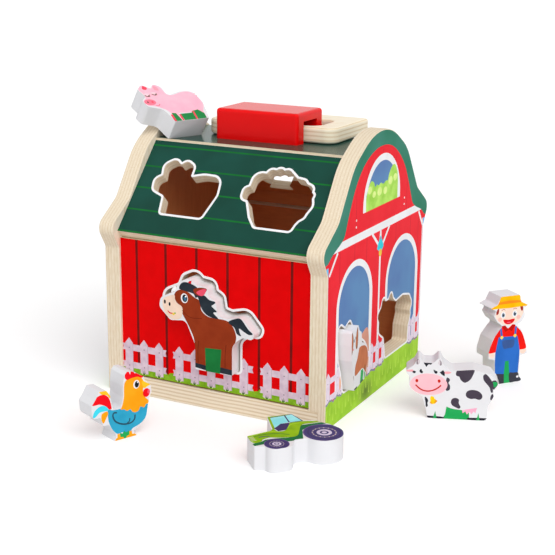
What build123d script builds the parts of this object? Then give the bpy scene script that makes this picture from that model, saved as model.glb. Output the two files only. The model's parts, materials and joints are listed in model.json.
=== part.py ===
from build123d import *
from math import cos, radians, sin, tan
import os

os.makedirs("parts", exist_ok=True)

# Wooden activity house: a barn-shaped shape sorter with a swing-up carry handle and loose blocks.
# Millimetres. X runs right along the front, Y to the back, Z up; the origin is under the middle of the base.

# Board thicknesses
WALL_T = 12.0
PANEL_T = 8.0
FLOOR_T = 13.3
BLOCK_T = 16.0
PLATE_T = 11.2

# Shared fits
PIN_CLEARANCE = 0.05
GLUE_CLEARANCE = 0.05
SWING_GAP = 0.5
REST_GAP = 0.1
HOLE_OFFSET = 0.8
BLOCK_OFFSET = -0.7
CUT_PAST = 1.0

# End walls
HOUSE_HALF_L = 85.7
WALL_HALF_W = 84.2
EAVE_Z = 106.1
LOBE = (93.7, 121.8)
NECK = (69.5, 138.1)
SHOULDER = (46.3, 171.8)
PEAK_Z = 198.5
PEAK_R = 58.0
WALL_EDGE_R = 0.8
INNER_X = HOUSE_HALF_L - WALL_T

# Roof
SLOPE = 47.8
ROOF_LOW_Y = 85.9
ROOF_LOW_Z = 118.3
RIDGE_HALF_W = 35.3
RIDGE_STEP = 1.8
ROOF_RISE = (ROOF_LOW_Y - RIDGE_HALF_W) * tan(radians(SLOPE))
RIDGE_TOP_Z = ROOF_LOW_Z + ROOF_RISE + RIDGE_STEP

# Walls and floor
FRONT_FACE_Y = -82.5
BACK_FACE_Y = 82.5
FRONT_BOTTOM_Z = 13.9
REBATE_DEPTH = 6.6
REBATE_GAP = 0.1
FLOOR_END_GAP = 0.1
FLOOR_EDGE_R = 0.8

# Back flap on its two pins
FLAP_BOTTOM_Z = 1.0
FLAP_AXIS_Z = 108.3
FLAP_PIN_D = 4.0
FLAP_PIN_IN_WALL = 8.0
FLAP_PIN_IN_FLAP = 14.0
FLAP_PIN_SPARE = 1.0
FLAP_STRIP_T = 2.0
FLAP_STRIP_GAP = 0.7
FLAP_STRIP_OVER = 0.3
FLAP_STRIP_SUNK = 2.0
FINGER_R = 13.0

# Handle
SADDLE_CX = -3.3
SADDLE_HALF_L = 32.4
SADDLE_FRONT_Y = -16.2
CHANNEL_FRONT_Y = -6.7
CHANNEL_BACK_Y = 14.3
SADDLE_BACK_Y = 24.2
CHANNEL_H = 15.3
SADDLE_H = 21.6
SADDLE_R = 2.4
PLATE_CX = 0.2
PLATE_HALF_L = 50.8
PLATE_BAR_W = 6.7
PLATE_DEPTH = 59.9
PLATE_LIFT = 0.4
PLATE_FRONT_R = 9.0
PLATE_BACK_R = 3.0
PLATE_EDGE_R = 2.0
SLOT_CX = -1.3
SLOT_HALF_L = 36.1
SLOT_BACK_Y = 35.0
SLOT_R = 8.0
SLOT_LEFT_R = 3.0

# Hidden fasteners
DOWEL_D = 4.0
DOWEL_L = 16.0
DOWEL_SPARE = 0.4
FRONT_DOWEL_Z = (32.0, 96.0)
ROOF_DOWEL_UP = (14.0, 58.0)
RIDGE_DOWEL_Y = 20.0
SCREW_D = 3.0
SCREW_HEAD_D = 6.0
SCREW_HEAD_H = 1.8
FLOOR_SCREW_L = 21.0
SADDLE_SCREW_L = 20.0
FLOOR_SCREW_Y = (-75.0, 60.0)
SADDLE_SCREW_DX = 22.0
SCREW_INSET = 3.2
DRIVE_D = 2.2
DRIVE_DEPTH = 1.2

# Block outlines: x to the viewer's right, y up from the feet, then the corner radius
PIG = [
    (-15.5, 0, 1.5), (15.5, 0, 2), (20.5, 18, 8), (18.5, 31, 6), (6, 31.5, 14),
    (-4.5, 28.5, 2), (-5, 38, 3.5), (-11, 41.5, 3), (-15, 37.5, 2), (-20.5, 42, 3.5),
    (-27, 37, 4), (-25, 28.5, 2), (-30, 25, 3.5), (-28.5, 17.5, 3.5), (-18, 13.5, 4),
]
SHEEP = [
    (-12.8, -0.7, 2), (12.3, -0.7, 1.5), (13.6, 4, 5), (15.4, 7.4, 1.4), (18.3, 10, 2),
    (19.2, 13.6, 1.4), (21.4, 18.8, 5), (19.4, 24.2, 1.4), (19.9, 27, 1.5), (17.9, 28.6, 1.4),
    (17.9, 32.2, 3), (12.6, 34.3, 1.4), (10.8, 36.6, 3), (4.5, 37.5, 1.4), (-3.2, 43.4, 2.5),
    (-6.6, 42.3, 1.4), (-9.4, 44, 2.5), (-12.1, 41.9, 1.4), (-16, 42.4, 2.5), (-18.2, 38.6, 1.4),
    (-26, 38.8, 5), (-26.3, 27.9, 1.4), (-30, 26, 2.5), (-29.6, 19.3, 3), (-24.4, 18, 2),
    (-18.2, 5.8, 3),
]
HORSE = [
    (-15, 0, 1.5), (15, 0, 1.5), (15, 22, 8), (22, 28, 4), (30, 27.5, 3), (32, 32, 3),
    (22, 43.5, 7), (10, 40.5, 5), (4, 42, 3), (2.5, 51, 3.5), (-3, 54, 2), (-4, 60, 4),
    (-13, 61, 2), (-18, 65.5, 6), (-27.5, 61, 5), (-30.5, 54, 5), (-42, 48.5, 6),
    (-43.5, 41, 5), (-34, 32, 5), (-22, 33.5, 4), (-15, 18, 8),
]
COW = [
    (-20, 0, 1.5), (21, 0, 1.5), (21.5, 11, 3), (25.5, 19, 2), (24.5, 22.5, 2), (28, 27.5, 3),
    (22.5, 34.5, 4), (10, 37.5, 6), (-4, 36, 3), (-9.5, 40, 2.5), (-12.5, 46, 1.8),
    (-17, 41, 2.5), (-23, 41, 2.5), (-27, 45.5, 1.8), (-30, 39, 3), (-36.5, 34, 2.5),
    (-33, 29.5, 3), (-33.5, 22, 5), (-24, 16, 4), (-21.5, 8, 3),
]
GOAT = [
    (-14.5, 3, 2), (15.8, 2.3, 3), (21.6, 7, 5), (24, 18.6, 6), (21.8, 23, 8), (18.4, 26.9, 6),
    (12.8, 30.6, 4), (5.4, 32, 2), (3.3, 41, 3), (-2.6, 43.8, 3), (-6.8, 49.3, 1.8),
    (-14.6, 45.8, 2), (-21.5, 50.3, 2.5), (-24.6, 47.6, 2), (-24.6, 39, 5), (-23, 27.3, 5),
    (-18.9, 18, 5),
]
ROOSTER = [
    (-1, 0, 0.6), (18.6, 0, 0.6), (15, 4.2, 1), (19.3, 6.4, 2), (25.1, 11.4, 3), (26.6, 19.4, 2),
    (27.8, 24.2, 2), (29.7, 28.6, 2), (29.1, 33.6, 2), (24.9, 37.4, 2), (23.6, 40.6, 1.5),
    (16.8, 45.1, 1.5), (13.6, 46.5, 1), (10.2, 46.6, 1), (7.9, 44.1, 1), (6.7, 37, 3),
    (6.6, 29.6, 3), (4.8, 22.2, 2), (0, 23.6, 1), (-1.5, 33, 2), (-4.6, 37.4, 1.5),
    (-10.4, 37.7, 1.5), (-13.5, 32.6, 2), (-16.6, 28.6, 1.5), (-16.1, 21.2, 1.2),
    (-14.5, 18.7, 1), (-10, 18.8, 0.8), (-8.4, 12.6, 0.8), (-4, 12.4, 1), (1, 4.6, 1),
]
FARMER = [
    (0, 0, 1), (19.6, 0, 0.8), (20.2, 1.9, 0.8), (17.4, 5.4, 1), (17.5, 20.5, 0.8),
    (23.6, 21.2, 1), (22, 29.4, 2), (17.4, 41, 2), (13.4, 44.8, 1), (17, 46.6, 2),
    (19.6, 51.4, 1.5), (18.4, 56.6, 0.8), (22.6, 59, 1), (16.4, 62.2, 0.8), (13.8, 68.2, 1),
    (-2.8, 68.3, 1), (-5.7, 62.3, 0.8), (-12.2, 59.6, 1), (-6.6, 56.8, 0.8), (-8.6, 54, 1.5),
    (-5.2, 48.6, 2), (-0.6, 45, 1), (-3, 42.8, 2), (-8.4, 36, 2), (-11.2, 26, 1),
    (-10.8, 20.8, 1), (-5.6, 19.6, 0.8), (-5, 9, 1), (-2.6, 7, 1),
]
TRACTOR = [
    (-7.5, 0, 6.5), (7.5, 0, 7), (13, 9.4, 2), (20.6, 8.6, 2), (26, 0, 11), (43, 0, 13),
    (48.4, 14, 13), (44, 25.6, 8), (40.8, 29.6, 1.5), (36.6, 35.6, 1.5), (30.8, 36.8, 1),
    (28.4, 50.2, 1.5), (10.6, 51.2, 1.5), (4.6, 29.2, 1), (-13.3, 26.4, 2), (-15, 9.4, 2),
    (-8.6, 6.2, 1),
]

# Where the outlines are cut: distance along the panel, then height up it
PIG_HOLE = (-30.3, 18.7)
SHEEP_HOLE = (40.5, 18.1)
HORSE_HOLE = (5.4, 31.0)
GOAT_HOLE = (-41.0, 17.0)
COW_HOLE = (37.3, 22.6)
FARMER_HOLE = (4.0, 26.0)
TRACTOR_HOLE = (-54.0, 14.0)
ROOSTER_HOLE = (17.5, 17.0)

# How the pushed-in blocks stand in their holes: the goat is turned about the upright
HORSE_PROUD = 8.6
GOAT_PROUD = 4.5
GOAT_YAW = 9.5
GOAT_SAG = 0.6

# Loose blocks: position of the outline's origin and heading of its x axis
ROOSTER_AT = (-27.3, -162.1)
ROOSTER_YAW = 65.9
FARMER_AT = (158.6, 59.6)
FARMER_YAW = 50.8
COW_AT = (153.9, -20.2)
COW_YAW = 21.0
TRACTOR_AT = (89.7, -153.6)
TRACTOR_YAW = 50.4
PIG_FROM_WALL = 16.3
PIG_Y = -22.1
PIG_YAW = 68.5
PIG_LEAN = 34.2


def outline_face(points):
    """Face inside a closed outline of corners (x, y, radius)."""
    edges = []
    last_end = None
    first_start = None
    for i, (x, y, r) in enumerate(points):
        corner = Vector(x, y)
        to_last = (Vector(*points[i - 1][:2]) - corner).normalized()
        to_next = (Vector(*points[(i + 1) % len(points)][:2]) - corner).normalized()
        half = radians(to_last.get_angle(to_next) / 2)
        start = corner + to_last * (r / tan(half))
        end = corner + to_next * (r / tan(half))
        if last_end is not None:
            edges.append(Edge.make_line(last_end, start))
        if r > 0:
            middle = corner + (to_last + to_next).normalized() * (r / sin(half) - r)
            edges.append(Edge.make_three_point_arc(start, middle, end))
        first_start = first_start or start
        last_end = end
    edges.append(Edge.make_line(last_end, first_start))
    return Sketch() + Face(Wire(edges))


def hole_face(points):
    return offset(outline_face(points), amount=HOLE_OFFSET)


def block_face(points):
    return offset(outline_face(points), amount=BLOCK_OFFSET)


def box(x0, x1, y0, y1, z0, z1):
    return Pos((x0 + x1) / 2, (y0 + y1) / 2, (z0 + z1) / 2) * Box(x1 - x0, y1 - y0, z1 - z0)


def rod(start, direction, length, diameter):
    return extrude(Plane(origin=start, z_dir=direction) * Circle(diameter / 2), amount=length)


def profile_yz(points, x0, x1):
    face = Plane(origin=(x0, 0, 0), x_dir=(0, 1, 0), z_dir=(1, 0, 0)) * make_face(Polyline(*points, close=True))
    return extrude(face, amount=x1 - x0)


def cut_through(solid, plane, face):
    return solid - extrude(plane * face, amount=40, both=True)


def save(name, shape):
    shape.label = name
    export_step(shape, f"parts/{name}.step")


# Planes of the outer faces, with x to the viewer's right and y up
slope_y = cos(radians(SLOPE))
slope_z = sin(radians(SLOPE))


def front_plane(x, z, y=FRONT_FACE_Y):
    return Plane(origin=(x, y, z), x_dir=(1, 0, 0), z_dir=(0, -1, 0))


def front_roof_plane(x, up):
    start = (x, -ROOF_LOW_Y + up * slope_y, ROOF_LOW_Z + up * slope_z)
    return Plane(origin=start, x_dir=(1, 0, 0), z_dir=(0, -slope_z, slope_y))


def back_roof_plane(x, up):
    start = (-x, ROOF_LOW_Y - up * slope_y, ROOF_LOW_Z + up * slope_z)
    return Plane(origin=start, x_dir=(-1, 0, 0), z_dir=(0, slope_z, slope_y))


def right_plane(y, z, x=HOUSE_HALF_L):
    return Plane(origin=(x, y, z), x_dir=(0, 1, 0), z_dir=(1, 0, 0))


def left_plane(y, z):
    return Plane(origin=(-HOUSE_HALF_L, -y, z), x_dir=(0, -1, 0), z_dir=(-1, 0, 0))


# Dowel places: across the panel's end, one list per panel
mid_t = PANEL_T / 2
front_dowels = [(FRONT_FACE_Y + mid_t, z) for z in FRONT_DOWEL_Z]
ridge_dowels = [(y, RIDGE_TOP_Z - mid_t) for y in (-RIDGE_DOWEL_Y, RIDGE_DOWEL_Y)]
front_roof_dowels = [
    (-ROOF_LOW_Y + up * slope_y + mid_t * slope_z, ROOF_LOW_Z + up * slope_z - mid_t * slope_y)
    for up in ROOF_DOWEL_UP
]
back_roof_dowels = [(-y, z) for y, z in front_roof_dowels]
all_dowels = front_dowels + ridge_dowels + front_roof_dowels + back_roof_dowels

# The flap turns about the middle of its rounded top edge
flap_y = BACK_FACE_Y - PANEL_T / 2
flap_z = FLAP_AXIS_Z


def dowel_holes(solid, places):
    for side in (-1, 1):
        for y, z in places:
            start = (side * (INNER_X - DOWEL_L / 2 - DOWEL_SPARE), y, z)
            length = DOWEL_L + 2 * DOWEL_SPARE
            solid -= rod(start, (side, 0, 0), length, DOWEL_D + 2 * GLUE_CLEARANCE)
    return solid


def dowels(places):
    pins = []
    for side in (-1, 1):
        for y, z in places:
            pin = rod((side * (INNER_X - DOWEL_L / 2), y, z), (side, 0, 0), DOWEL_L, DOWEL_D)
            ends = pin.edges().filter_by(GeomType.CIRCLE)
            pins.append(chamfer(ends, 0.5))
    return Compound(children=pins)


# Screws: a shank up from a countersunk head, with a drive recess
floor_screws = [
    (side * (INNER_X + SCREW_INSET), y) for side in (-1, 1) for y in FLOOR_SCREW_Y
]
saddle_screws = [
    (SADDLE_CX + dx, y)
    for dx in (-SADDLE_SCREW_DX, SADDLE_SCREW_DX)
    for y in ((SADDLE_FRONT_Y + CHANNEL_FRONT_Y) / 2, (CHANNEL_BACK_Y + SADDLE_BACK_Y) / 2)
]
ridge_under_z = RIDGE_TOP_Z - PANEL_T


def screw(x, y, z, length, clearance=0.0):
    shank = rod((x, y, z), (0, 0, 1), length + clearance, SCREW_D + 2 * clearance)
    big = SCREW_HEAD_D / 2 + clearance
    small = SCREW_D / 2 + clearance
    head = Pos(x, y, z + SCREW_HEAD_H / 2) * Cone(big, small, SCREW_HEAD_H)
    return shank + head


def screw_group(places, z, length):
    made = []
    for x, y in places:
        recess = rod((x, y, z), (0, 0, 1), DRIVE_DEPTH, DRIVE_D)
        made.append(screw(x, y, z, length) - recess)
    return Compound(children=made)


def screw_holes(solid, places, z, length):
    for x, y in places:
        solid -= screw(x, y, z, length, GLUE_CLEARANCE)
    return solid


# End wall outline: straight sides, a rounded lobe at each eave and a round-topped roof
right_half = [
    (WALL_HALF_W, 0, 1.0), (WALL_HALF_W, EAVE_Z, 3.0), (*LOBE, 8.0), (*NECK, 14.0), (*SHOULDER, 45.0),
]
left_half = [(-y, z, r) for y, z, r in reversed(right_half)]
wall_outline = right_half + [(0, PEAK_Z, PEAK_R)] + left_half

rebate_front_y = -WALL_HALF_W
rebate_back_y = BACK_FACE_Y - PANEL_T - REST_GAP


def end_wall(side):
    outer = Plane(origin=(side * HOUSE_HALF_L, 0, 0), x_dir=(0, 1, 0), z_dir=(1, 0, 0))
    wall = extrude(outer * outline_face(wall_outline), amount=-side * WALL_T)
    rims = wall.edges().filter_by(lambda e: abs(e.center().X - side * HOUSE_HALF_L) < 0.01)
    wall = fillet(rims, WALL_EDGE_R)
    rebate_x = side * (INNER_X + REBATE_DEPTH)
    low_x, high_x = sorted((side * (INNER_X - CUT_PAST), rebate_x))
    wall -= box(low_x, high_x, rebate_front_y - CUT_PAST, rebate_back_y, -CUT_PAST, FLOOR_T)
    wall = dowel_holes(wall, all_dowels)
    pin_start = (side * (INNER_X - CUT_PAST), flap_y, flap_z)
    pin_depth = CUT_PAST + FLAP_PIN_IN_WALL + DOWEL_SPARE
    wall -= rod(pin_start, (side, 0, 0), pin_depth, FLAP_PIN_D + 2 * GLUE_CLEARANCE)
    return screw_holes(wall, floor_screws, 0, FLOOR_SCREW_L)


right_end_wall = end_wall(1)
right_end_wall = cut_through(right_end_wall, right_plane(*GOAT_HOLE), hole_face(GOAT))
right_end_wall = cut_through(right_end_wall, right_plane(*COW_HOLE), hole_face(COW))
save("right_end_wall", right_end_wall)

left_end_wall = end_wall(-1)
left_end_wall = cut_through(left_end_wall, left_plane(*FARMER_HOLE), hole_face(FARMER))
save("left_end_wall", left_end_wall)

# Front wall
eave_under_z = ROOF_LOW_Z - PANEL_T * slope_y
front_top_z = eave_under_z - REST_GAP
front_wall = box(-INNER_X, INNER_X, FRONT_FACE_Y, FRONT_FACE_Y + PANEL_T, FRONT_BOTTOM_Z, front_top_z)
front_wall = dowel_holes(front_wall, front_dowels)
front_wall = cut_through(front_wall, front_plane(*HORSE_HOLE), hole_face(HORSE))
save("front_wall_panel", front_wall)

# Sloping roof panels: square-cut at the eave, upright cut where they meet the top panel
drop = PANEL_T / slope_y
slope_profile = [
    (-ROOF_LOW_Y, ROOF_LOW_Z),
    (-RIDGE_HALF_W, ROOF_LOW_Z + ROOF_RISE),
    (-RIDGE_HALF_W, ROOF_LOW_Z + ROOF_RISE - drop),
    (-ROOF_LOW_Y + PANEL_T * slope_z, eave_under_z),
]
front_roof = profile_yz(slope_profile, -INNER_X, INNER_X)
front_roof = dowel_holes(front_roof, front_roof_dowels)
front_roof = cut_through(front_roof, front_roof_plane(*PIG_HOLE), hole_face(PIG))
front_roof = cut_through(front_roof, front_roof_plane(*SHEEP_HOLE), hole_face(SHEEP))
save("front_roof_panel", front_roof)

back_roof = profile_yz([(-y, z) for y, z in slope_profile], -INNER_X, INNER_X)
# A strip under it, inside the house, covers the joint over the flap
strip_back_y = BACK_FACE_Y - PANEL_T - FLAP_STRIP_GAP
strip_low_z = flap_z + PANEL_T / 2 + FLAP_STRIP_OVER
strip_high_z = eave_under_z + (ROOF_LOW_Y - PANEL_T * slope_z - strip_back_y) * slope_z / slope_y + FLAP_STRIP_SUNK
back_roof += box(-INNER_X, INNER_X, strip_back_y - FLAP_STRIP_T, strip_back_y, strip_low_z, strip_high_z)
back_roof = dowel_holes(back_roof, back_roof_dowels)
back_roof = cut_through(back_roof, back_roof_plane(*TRACTOR_HOLE), hole_face(TRACTOR))
back_roof = cut_through(back_roof, back_roof_plane(*ROOSTER_HOLE), hole_face(ROOSTER))
save("back_roof_panel", back_roof)

roof_top = box(-INNER_X, INNER_X, -RIDGE_HALF_W, RIDGE_HALF_W, ridge_under_z, RIDGE_TOP_Z)
roof_top = dowel_holes(roof_top, ridge_dowels)
roof_top = screw_holes(roof_top, saddle_screws, ridge_under_z, SADDLE_SCREW_L)
save("roof_top_panel", roof_top)

# Floor board, let into the rebates of both end walls
floor_end = INNER_X + REBATE_DEPTH - FLOOR_END_GAP
floor = box(-floor_end, floor_end, rebate_front_y, rebate_back_y - REBATE_GAP, 0, FLOOR_T)
front_edges = floor.edges().filter_by(Axis.X).group_by(Axis.Y)[0]
floor = fillet(front_edges, FLOOR_EDGE_R)
floor = screw_holes(floor, floor_screws, 0, FLOOR_SCREW_L)
save("floor_board", floor)

# Back flap: rounded top edge about the pins, finger notch at the bottom
flap_x = INNER_X - SWING_GAP
flap = box(-flap_x, flap_x, BACK_FACE_Y - PANEL_T, BACK_FACE_Y, FLAP_BOTTOM_Z, flap_z)
flap += rod((-flap_x, flap_y, flap_z), (1, 0, 0), 2 * flap_x, PANEL_T)
notch_start = (0, BACK_FACE_Y - PANEL_T - CUT_PAST, FLAP_BOTTOM_Z)
flap -= rod(notch_start, (0, 1, 0), PANEL_T + 2 * CUT_PAST, 2 * FINGER_R)
flap_pins = []
for side in (-1, 1):
    hole_start = (side * (INNER_X - FLAP_PIN_IN_FLAP - FLAP_PIN_SPARE), flap_y, flap_z)
    hole_length = FLAP_PIN_IN_FLAP + FLAP_PIN_SPARE
    flap -= rod(hole_start, (side, 0, 0), hole_length, FLAP_PIN_D + 2 * PIN_CLEARANCE)
    pin_start = (side * (INNER_X - FLAP_PIN_IN_FLAP), flap_y, flap_z)
    pin_length = FLAP_PIN_IN_FLAP + FLAP_PIN_IN_WALL
    flap_pins.append(rod(pin_start, (side, 0, 0), pin_length, FLAP_PIN_D))
save("back_flap", flap)
save("flap_pins", Compound(children=flap_pins))

# Handle saddle: an upside-down channel screwed to the roof top
saddle_x0 = SADDLE_CX - SADDLE_HALF_L
saddle_x1 = SADDLE_CX + SADDLE_HALF_L
saddle_top_z = RIDGE_TOP_Z + SADDLE_H
channel_top_z = RIDGE_TOP_Z + CHANNEL_H
saddle = box(saddle_x0, saddle_x1, SADDLE_FRONT_Y, SADDLE_BACK_Y, RIDGE_TOP_Z, saddle_top_z)
upper = saddle.edges().filter_by(lambda e: e.center().Z > RIDGE_TOP_Z + SADDLE_R)
saddle = fillet(upper, SADDLE_R)
channel_x0 = saddle_x0 - CUT_PAST
channel_x1 = saddle_x1 + CUT_PAST
saddle -= box(channel_x0, channel_x1, CHANNEL_FRONT_Y, CHANNEL_BACK_Y, RIDGE_TOP_Z - CUT_PAST, channel_top_z)
saddle = screw_holes(saddle, saddle_screws, ridge_under_z, SADDLE_SCREW_L)
save("handle_saddle", saddle)

# Handle plate: its front bar lies in the channel and turns there
plate_z = RIDGE_TOP_Z + PLATE_LIFT
bar_half = PLATE_BAR_W / 2
plate_points = [
    (PLATE_CX - PLATE_HALF_L, -bar_half, PLATE_FRONT_R),
    (PLATE_CX + PLATE_HALF_L, -bar_half, PLATE_FRONT_R),
    (PLATE_CX + PLATE_HALF_L, PLATE_DEPTH - bar_half, PLATE_BACK_R),
    (PLATE_CX - PLATE_HALF_L, PLATE_DEPTH - bar_half, PLATE_BACK_R),
]
# The saddle sits left of the middle, so the slot's left corners are tighter to clear its legs
slot_points = [
    (SLOT_CX - SLOT_HALF_L, bar_half, SLOT_LEFT_R),
    (SLOT_CX + SLOT_HALF_L, bar_half, SLOT_R),
    (SLOT_CX + SLOT_HALF_L, SLOT_BACK_Y, SLOT_R),
    (SLOT_CX - SLOT_HALF_L, SLOT_BACK_Y, SLOT_LEFT_R),
]
plate_face = outline_face(plate_points) - outline_face(slot_points)
plate = extrude(Pos(0, 0, plate_z) * plate_face, amount=PLATE_T)
flat_edges = plate.edges().filter_by(Axis.Z, reverse=True)
plate = fillet(flat_edges, PLATE_EDGE_R)
save("handle_plate", plate)

# Fixings
save("front_wall_dowels", dowels(front_dowels))
save("front_roof_dowels", dowels(front_roof_dowels))
save("back_roof_dowels", dowels(back_roof_dowels))
save("roof_top_dowels", dowels(ridge_dowels))
save("floor_screws", screw_group(floor_screws, 0, FLOOR_SCREW_L))
save("saddle_screws", screw_group(saddle_screws, ridge_under_z, SADDLE_SCREW_L))


# Blocks: the print is on the face that looks along the plane's z axis
def block(name, points, plane):
    save(name, extrude(plane * block_face(points), amount=-BLOCK_T))


def standing_plane(at, yaw):
    c = cos(radians(yaw))
    s = sin(radians(yaw))
    return Plane(origin=(at[0], at[1], BLOCK_OFFSET), x_dir=(c, s, 0), z_dir=(s, -c, 0))


# The horse rests on the bottom of its hole
horse_sag = HOLE_OFFSET - BLOCK_OFFSET - REST_GAP
horse_plane = front_plane(HORSE_HOLE[0], HORSE_HOLE[1] - horse_sag, FRONT_FACE_Y - HORSE_PROUD)

# The goat is turned about the middle of its hole's depth
goat_c = cos(radians(GOAT_YAW))
goat_s = sin(radians(GOAT_YAW))
goat_shift = (GOAT_PROUD + WALL_T / 2) * goat_s / goat_c
goat_origin = (HOUSE_HALF_L + GOAT_PROUD, GOAT_HOLE[0] + goat_shift, GOAT_HOLE[1] - GOAT_SAG)
goat_plane = Plane(origin=goat_origin, x_dir=(-goat_s, goat_c, 0), z_dir=(goat_c, goat_s, 0))
block("horse_block", HORSE, horse_plane)
block("goat_block", GOAT, goat_plane)
block("cow_block", COW, standing_plane(COW_AT, COW_YAW))
block("rooster_block", ROOSTER, standing_plane(ROOSTER_AT, ROOSTER_YAW))
block("farmer_block", FARMER, standing_plane(FARMER_AT, FARMER_YAW))

tractor_c = cos(radians(TRACTOR_YAW))
tractor_s = sin(radians(TRACTOR_YAW))
tractor_plane = Plane(origin=(*TRACTOR_AT, BLOCK_T), x_dir=(tractor_c, tractor_s, 0), z_dir=(0, 0, 1))
block("tractor_block", TRACTOR, tractor_plane)

# The pig stands on the roof top and leans on the left end wall
pig_x = Vector(cos(radians(PIG_YAW)), sin(radians(PIG_YAW)), 0)
pig_level = Vector(-sin(radians(PIG_YAW)), cos(radians(PIG_YAW)), 0)
pig_y = pig_level * cos(radians(PIG_LEAN)) + Vector(0, 0, sin(radians(PIG_LEAN)))
pig_normal = pig_x.cross(pig_y)
pig_feet = Vector(PIG_FROM_WALL - INNER_X, PIG_Y, RIDGE_TOP_Z + REST_GAP)
pig_origin = pig_feet + pig_normal * BLOCK_T + pig_y * BLOCK_OFFSET
block("pig_block", PIG, Plane(origin=pig_origin, x_dir=pig_x, z_dir=pig_normal))
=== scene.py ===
# %% [markdown]
# # A barn-shaped shape sorter
#
# The toy is a small plywood barn with sorting holes, a swing-up handle, a back flap and seven loose
# farm blocks. The solids were modelled first and come in as a fixed frame, in metres, with the
# origin on the ground under the middle of the barn. This lesson never changes them. It gives each
# one a wood, paint or steel finish, and lays the printed pictures over the faces as thin sheets of
# ink.

import json
from math import atan2, cos, pi, radians, sin

import bpy
from mathutils import Euler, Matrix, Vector
from mathutils.geometry import delaunay_2d_cdt, tessellate_polygon

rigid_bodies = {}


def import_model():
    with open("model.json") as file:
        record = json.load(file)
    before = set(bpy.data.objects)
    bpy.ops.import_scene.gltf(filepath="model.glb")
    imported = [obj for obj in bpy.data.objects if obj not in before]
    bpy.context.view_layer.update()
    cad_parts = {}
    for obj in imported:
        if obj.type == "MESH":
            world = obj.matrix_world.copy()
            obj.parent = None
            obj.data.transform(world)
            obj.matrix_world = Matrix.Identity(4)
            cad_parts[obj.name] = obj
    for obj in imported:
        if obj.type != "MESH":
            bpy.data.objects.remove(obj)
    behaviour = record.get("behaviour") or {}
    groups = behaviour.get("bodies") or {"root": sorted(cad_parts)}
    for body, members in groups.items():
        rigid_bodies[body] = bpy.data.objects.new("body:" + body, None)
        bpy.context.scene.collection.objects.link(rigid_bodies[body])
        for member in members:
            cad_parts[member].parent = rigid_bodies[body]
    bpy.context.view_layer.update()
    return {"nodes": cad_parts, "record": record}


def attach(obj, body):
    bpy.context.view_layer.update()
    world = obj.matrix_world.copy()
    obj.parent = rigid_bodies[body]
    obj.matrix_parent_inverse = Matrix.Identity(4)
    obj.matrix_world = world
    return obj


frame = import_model()

# %% [markdown]
# ## Sockets that add up
#
# A shader is a little sum worked out at each point of a surface. Wired by hand, a line such as
# 0.4 + 0.1 * grain takes two Math nodes and three links. The class below wraps one output socket
# and gives it Python's own signs, so the sum is written as a sum and the nodes are added for us.
# The reflected forms, such as __rsub__, make 1 - mask work too.

# %% A socket with arithmetic
class Value:
    def __init__(self, socket):
        self.socket = socket

    def math(self, operation, *others):
        tree = self.socket.id_data
        node = tree.nodes.new("ShaderNodeMath")
        node.operation = operation
        for entry, value in zip(node.inputs, (self, *others)):
            plug(tree, entry, value)
        return Value(node.outputs[0])

    def __add__(self, other):
        return self.math("ADD", other)

    def __mul__(self, other):
        return self.math("MULTIPLY", other)

    def __sub__(self, other):
        return self.math("SUBTRACT", other)

    def __rsub__(self, other):
        minus = self.math("MULTIPLY", -1.0)
        return minus.math("ADD", other)

    def __gt__(self, other):
        return self.math("GREATER_THAN", other)

    def __abs__(self):
        return self.math("ABSOLUTE")

    __radd__ = __add__
    __rmul__ = __mul__


def plug(tree, entry, value):
    if isinstance(value, Value):
        tree.links.new(value.socket, entry)
    else:
        entry.default_value = value


print("a socket now knows + - * > and abs")

# %% [markdown]
# ## A finish
#
# A finish is one material. Its node method adds any kind of node: the settings go in first,
# because some of them change which sockets the node has, and then the values or links. Colours
# are written as the hex numbers a painter would pick, and turned into the linear light that
# Blender reckons with.

# %% The finish class
def linear(hex_colour):
    parts = [int(hex_colour[i:i + 2], 16) / 255 for i in (1, 3, 5)]
    return tuple(c / 12.92 if c <= 0.04045 else ((c + 0.055) / 1.055) ** 2.4 for c in parts) + (1.0,)


class Finish:
    def __init__(self, name):
        self.material = bpy.data.materials.new(name)
        self.material.use_nodes = True
        self.tree = self.material.node_tree
        self.shader = self.tree.nodes["Principled BSDF"]

    def node(self, kind, settings=None, inputs=None, output=0):
        made = self.tree.nodes.new(kind)
        for key, value in (settings or {}).items():
            if key == "stops":
                fill_ramp(made.color_ramp, value)
            else:
                setattr(made, key, value)
        for key, value in (inputs or {}).items():
            plug(self.tree, made.inputs[key], value)
        return Value(made.outputs[output])

    def set(self, **values):
        for key, value in values.items():
            plug(self.tree, self.shader.inputs[key.replace("_", " ")], value)
        return self


def fill_ramp(ramp, stops):
    while len(ramp.elements) < len(stops):
        ramp.elements.new(0.5)
    for element, (place, colour) in zip(ramp.elements, stops):
        element.position = place
        element.color = colour


print("a red written as #E00000 is", [round(c, 3) for c in linear("#E00000")[:3]], "in linear light")


# %% [markdown]
# ## Coordinates, mixes and bumps
#
# Every finish starts from the same question: where on the toy is this point? The Object coordinate
# says so in metres. Multiplying by 1000 gives millimetres, so that each number below can be
# compared with a ruler held to the real thing. A Mix node keeps separate sockets for numbers,
# vectors and colours under the same names, so its colour sockets are picked by number.

# %% Small helpers for finishes
MM = 0.001
MIX_FACTOR = 0
MIX_FIRST = 6
MIX_SECOND = 7
MIX_RESULT = 2


def millimetres(finish):
    place = finish.node("ShaderNodeTexCoord", output="Object")
    return finish.node("ShaderNodeVectorMath", {"operation": "SCALE"}, {0: place, "Scale": 1 / MM})


def parts_of(finish, vector):
    split = finish.tree.nodes.new("ShaderNodeSeparateXYZ")
    plug(finish.tree, split.inputs[0], vector)
    return [Value(out) for out in split.outputs]


def dot(finish, vector, direction):
    inputs = {0: vector, 1: direction}
    return finish.node("ShaderNodeVectorMath", {"operation": "DOT_PRODUCT"}, inputs, output="Value")


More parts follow.
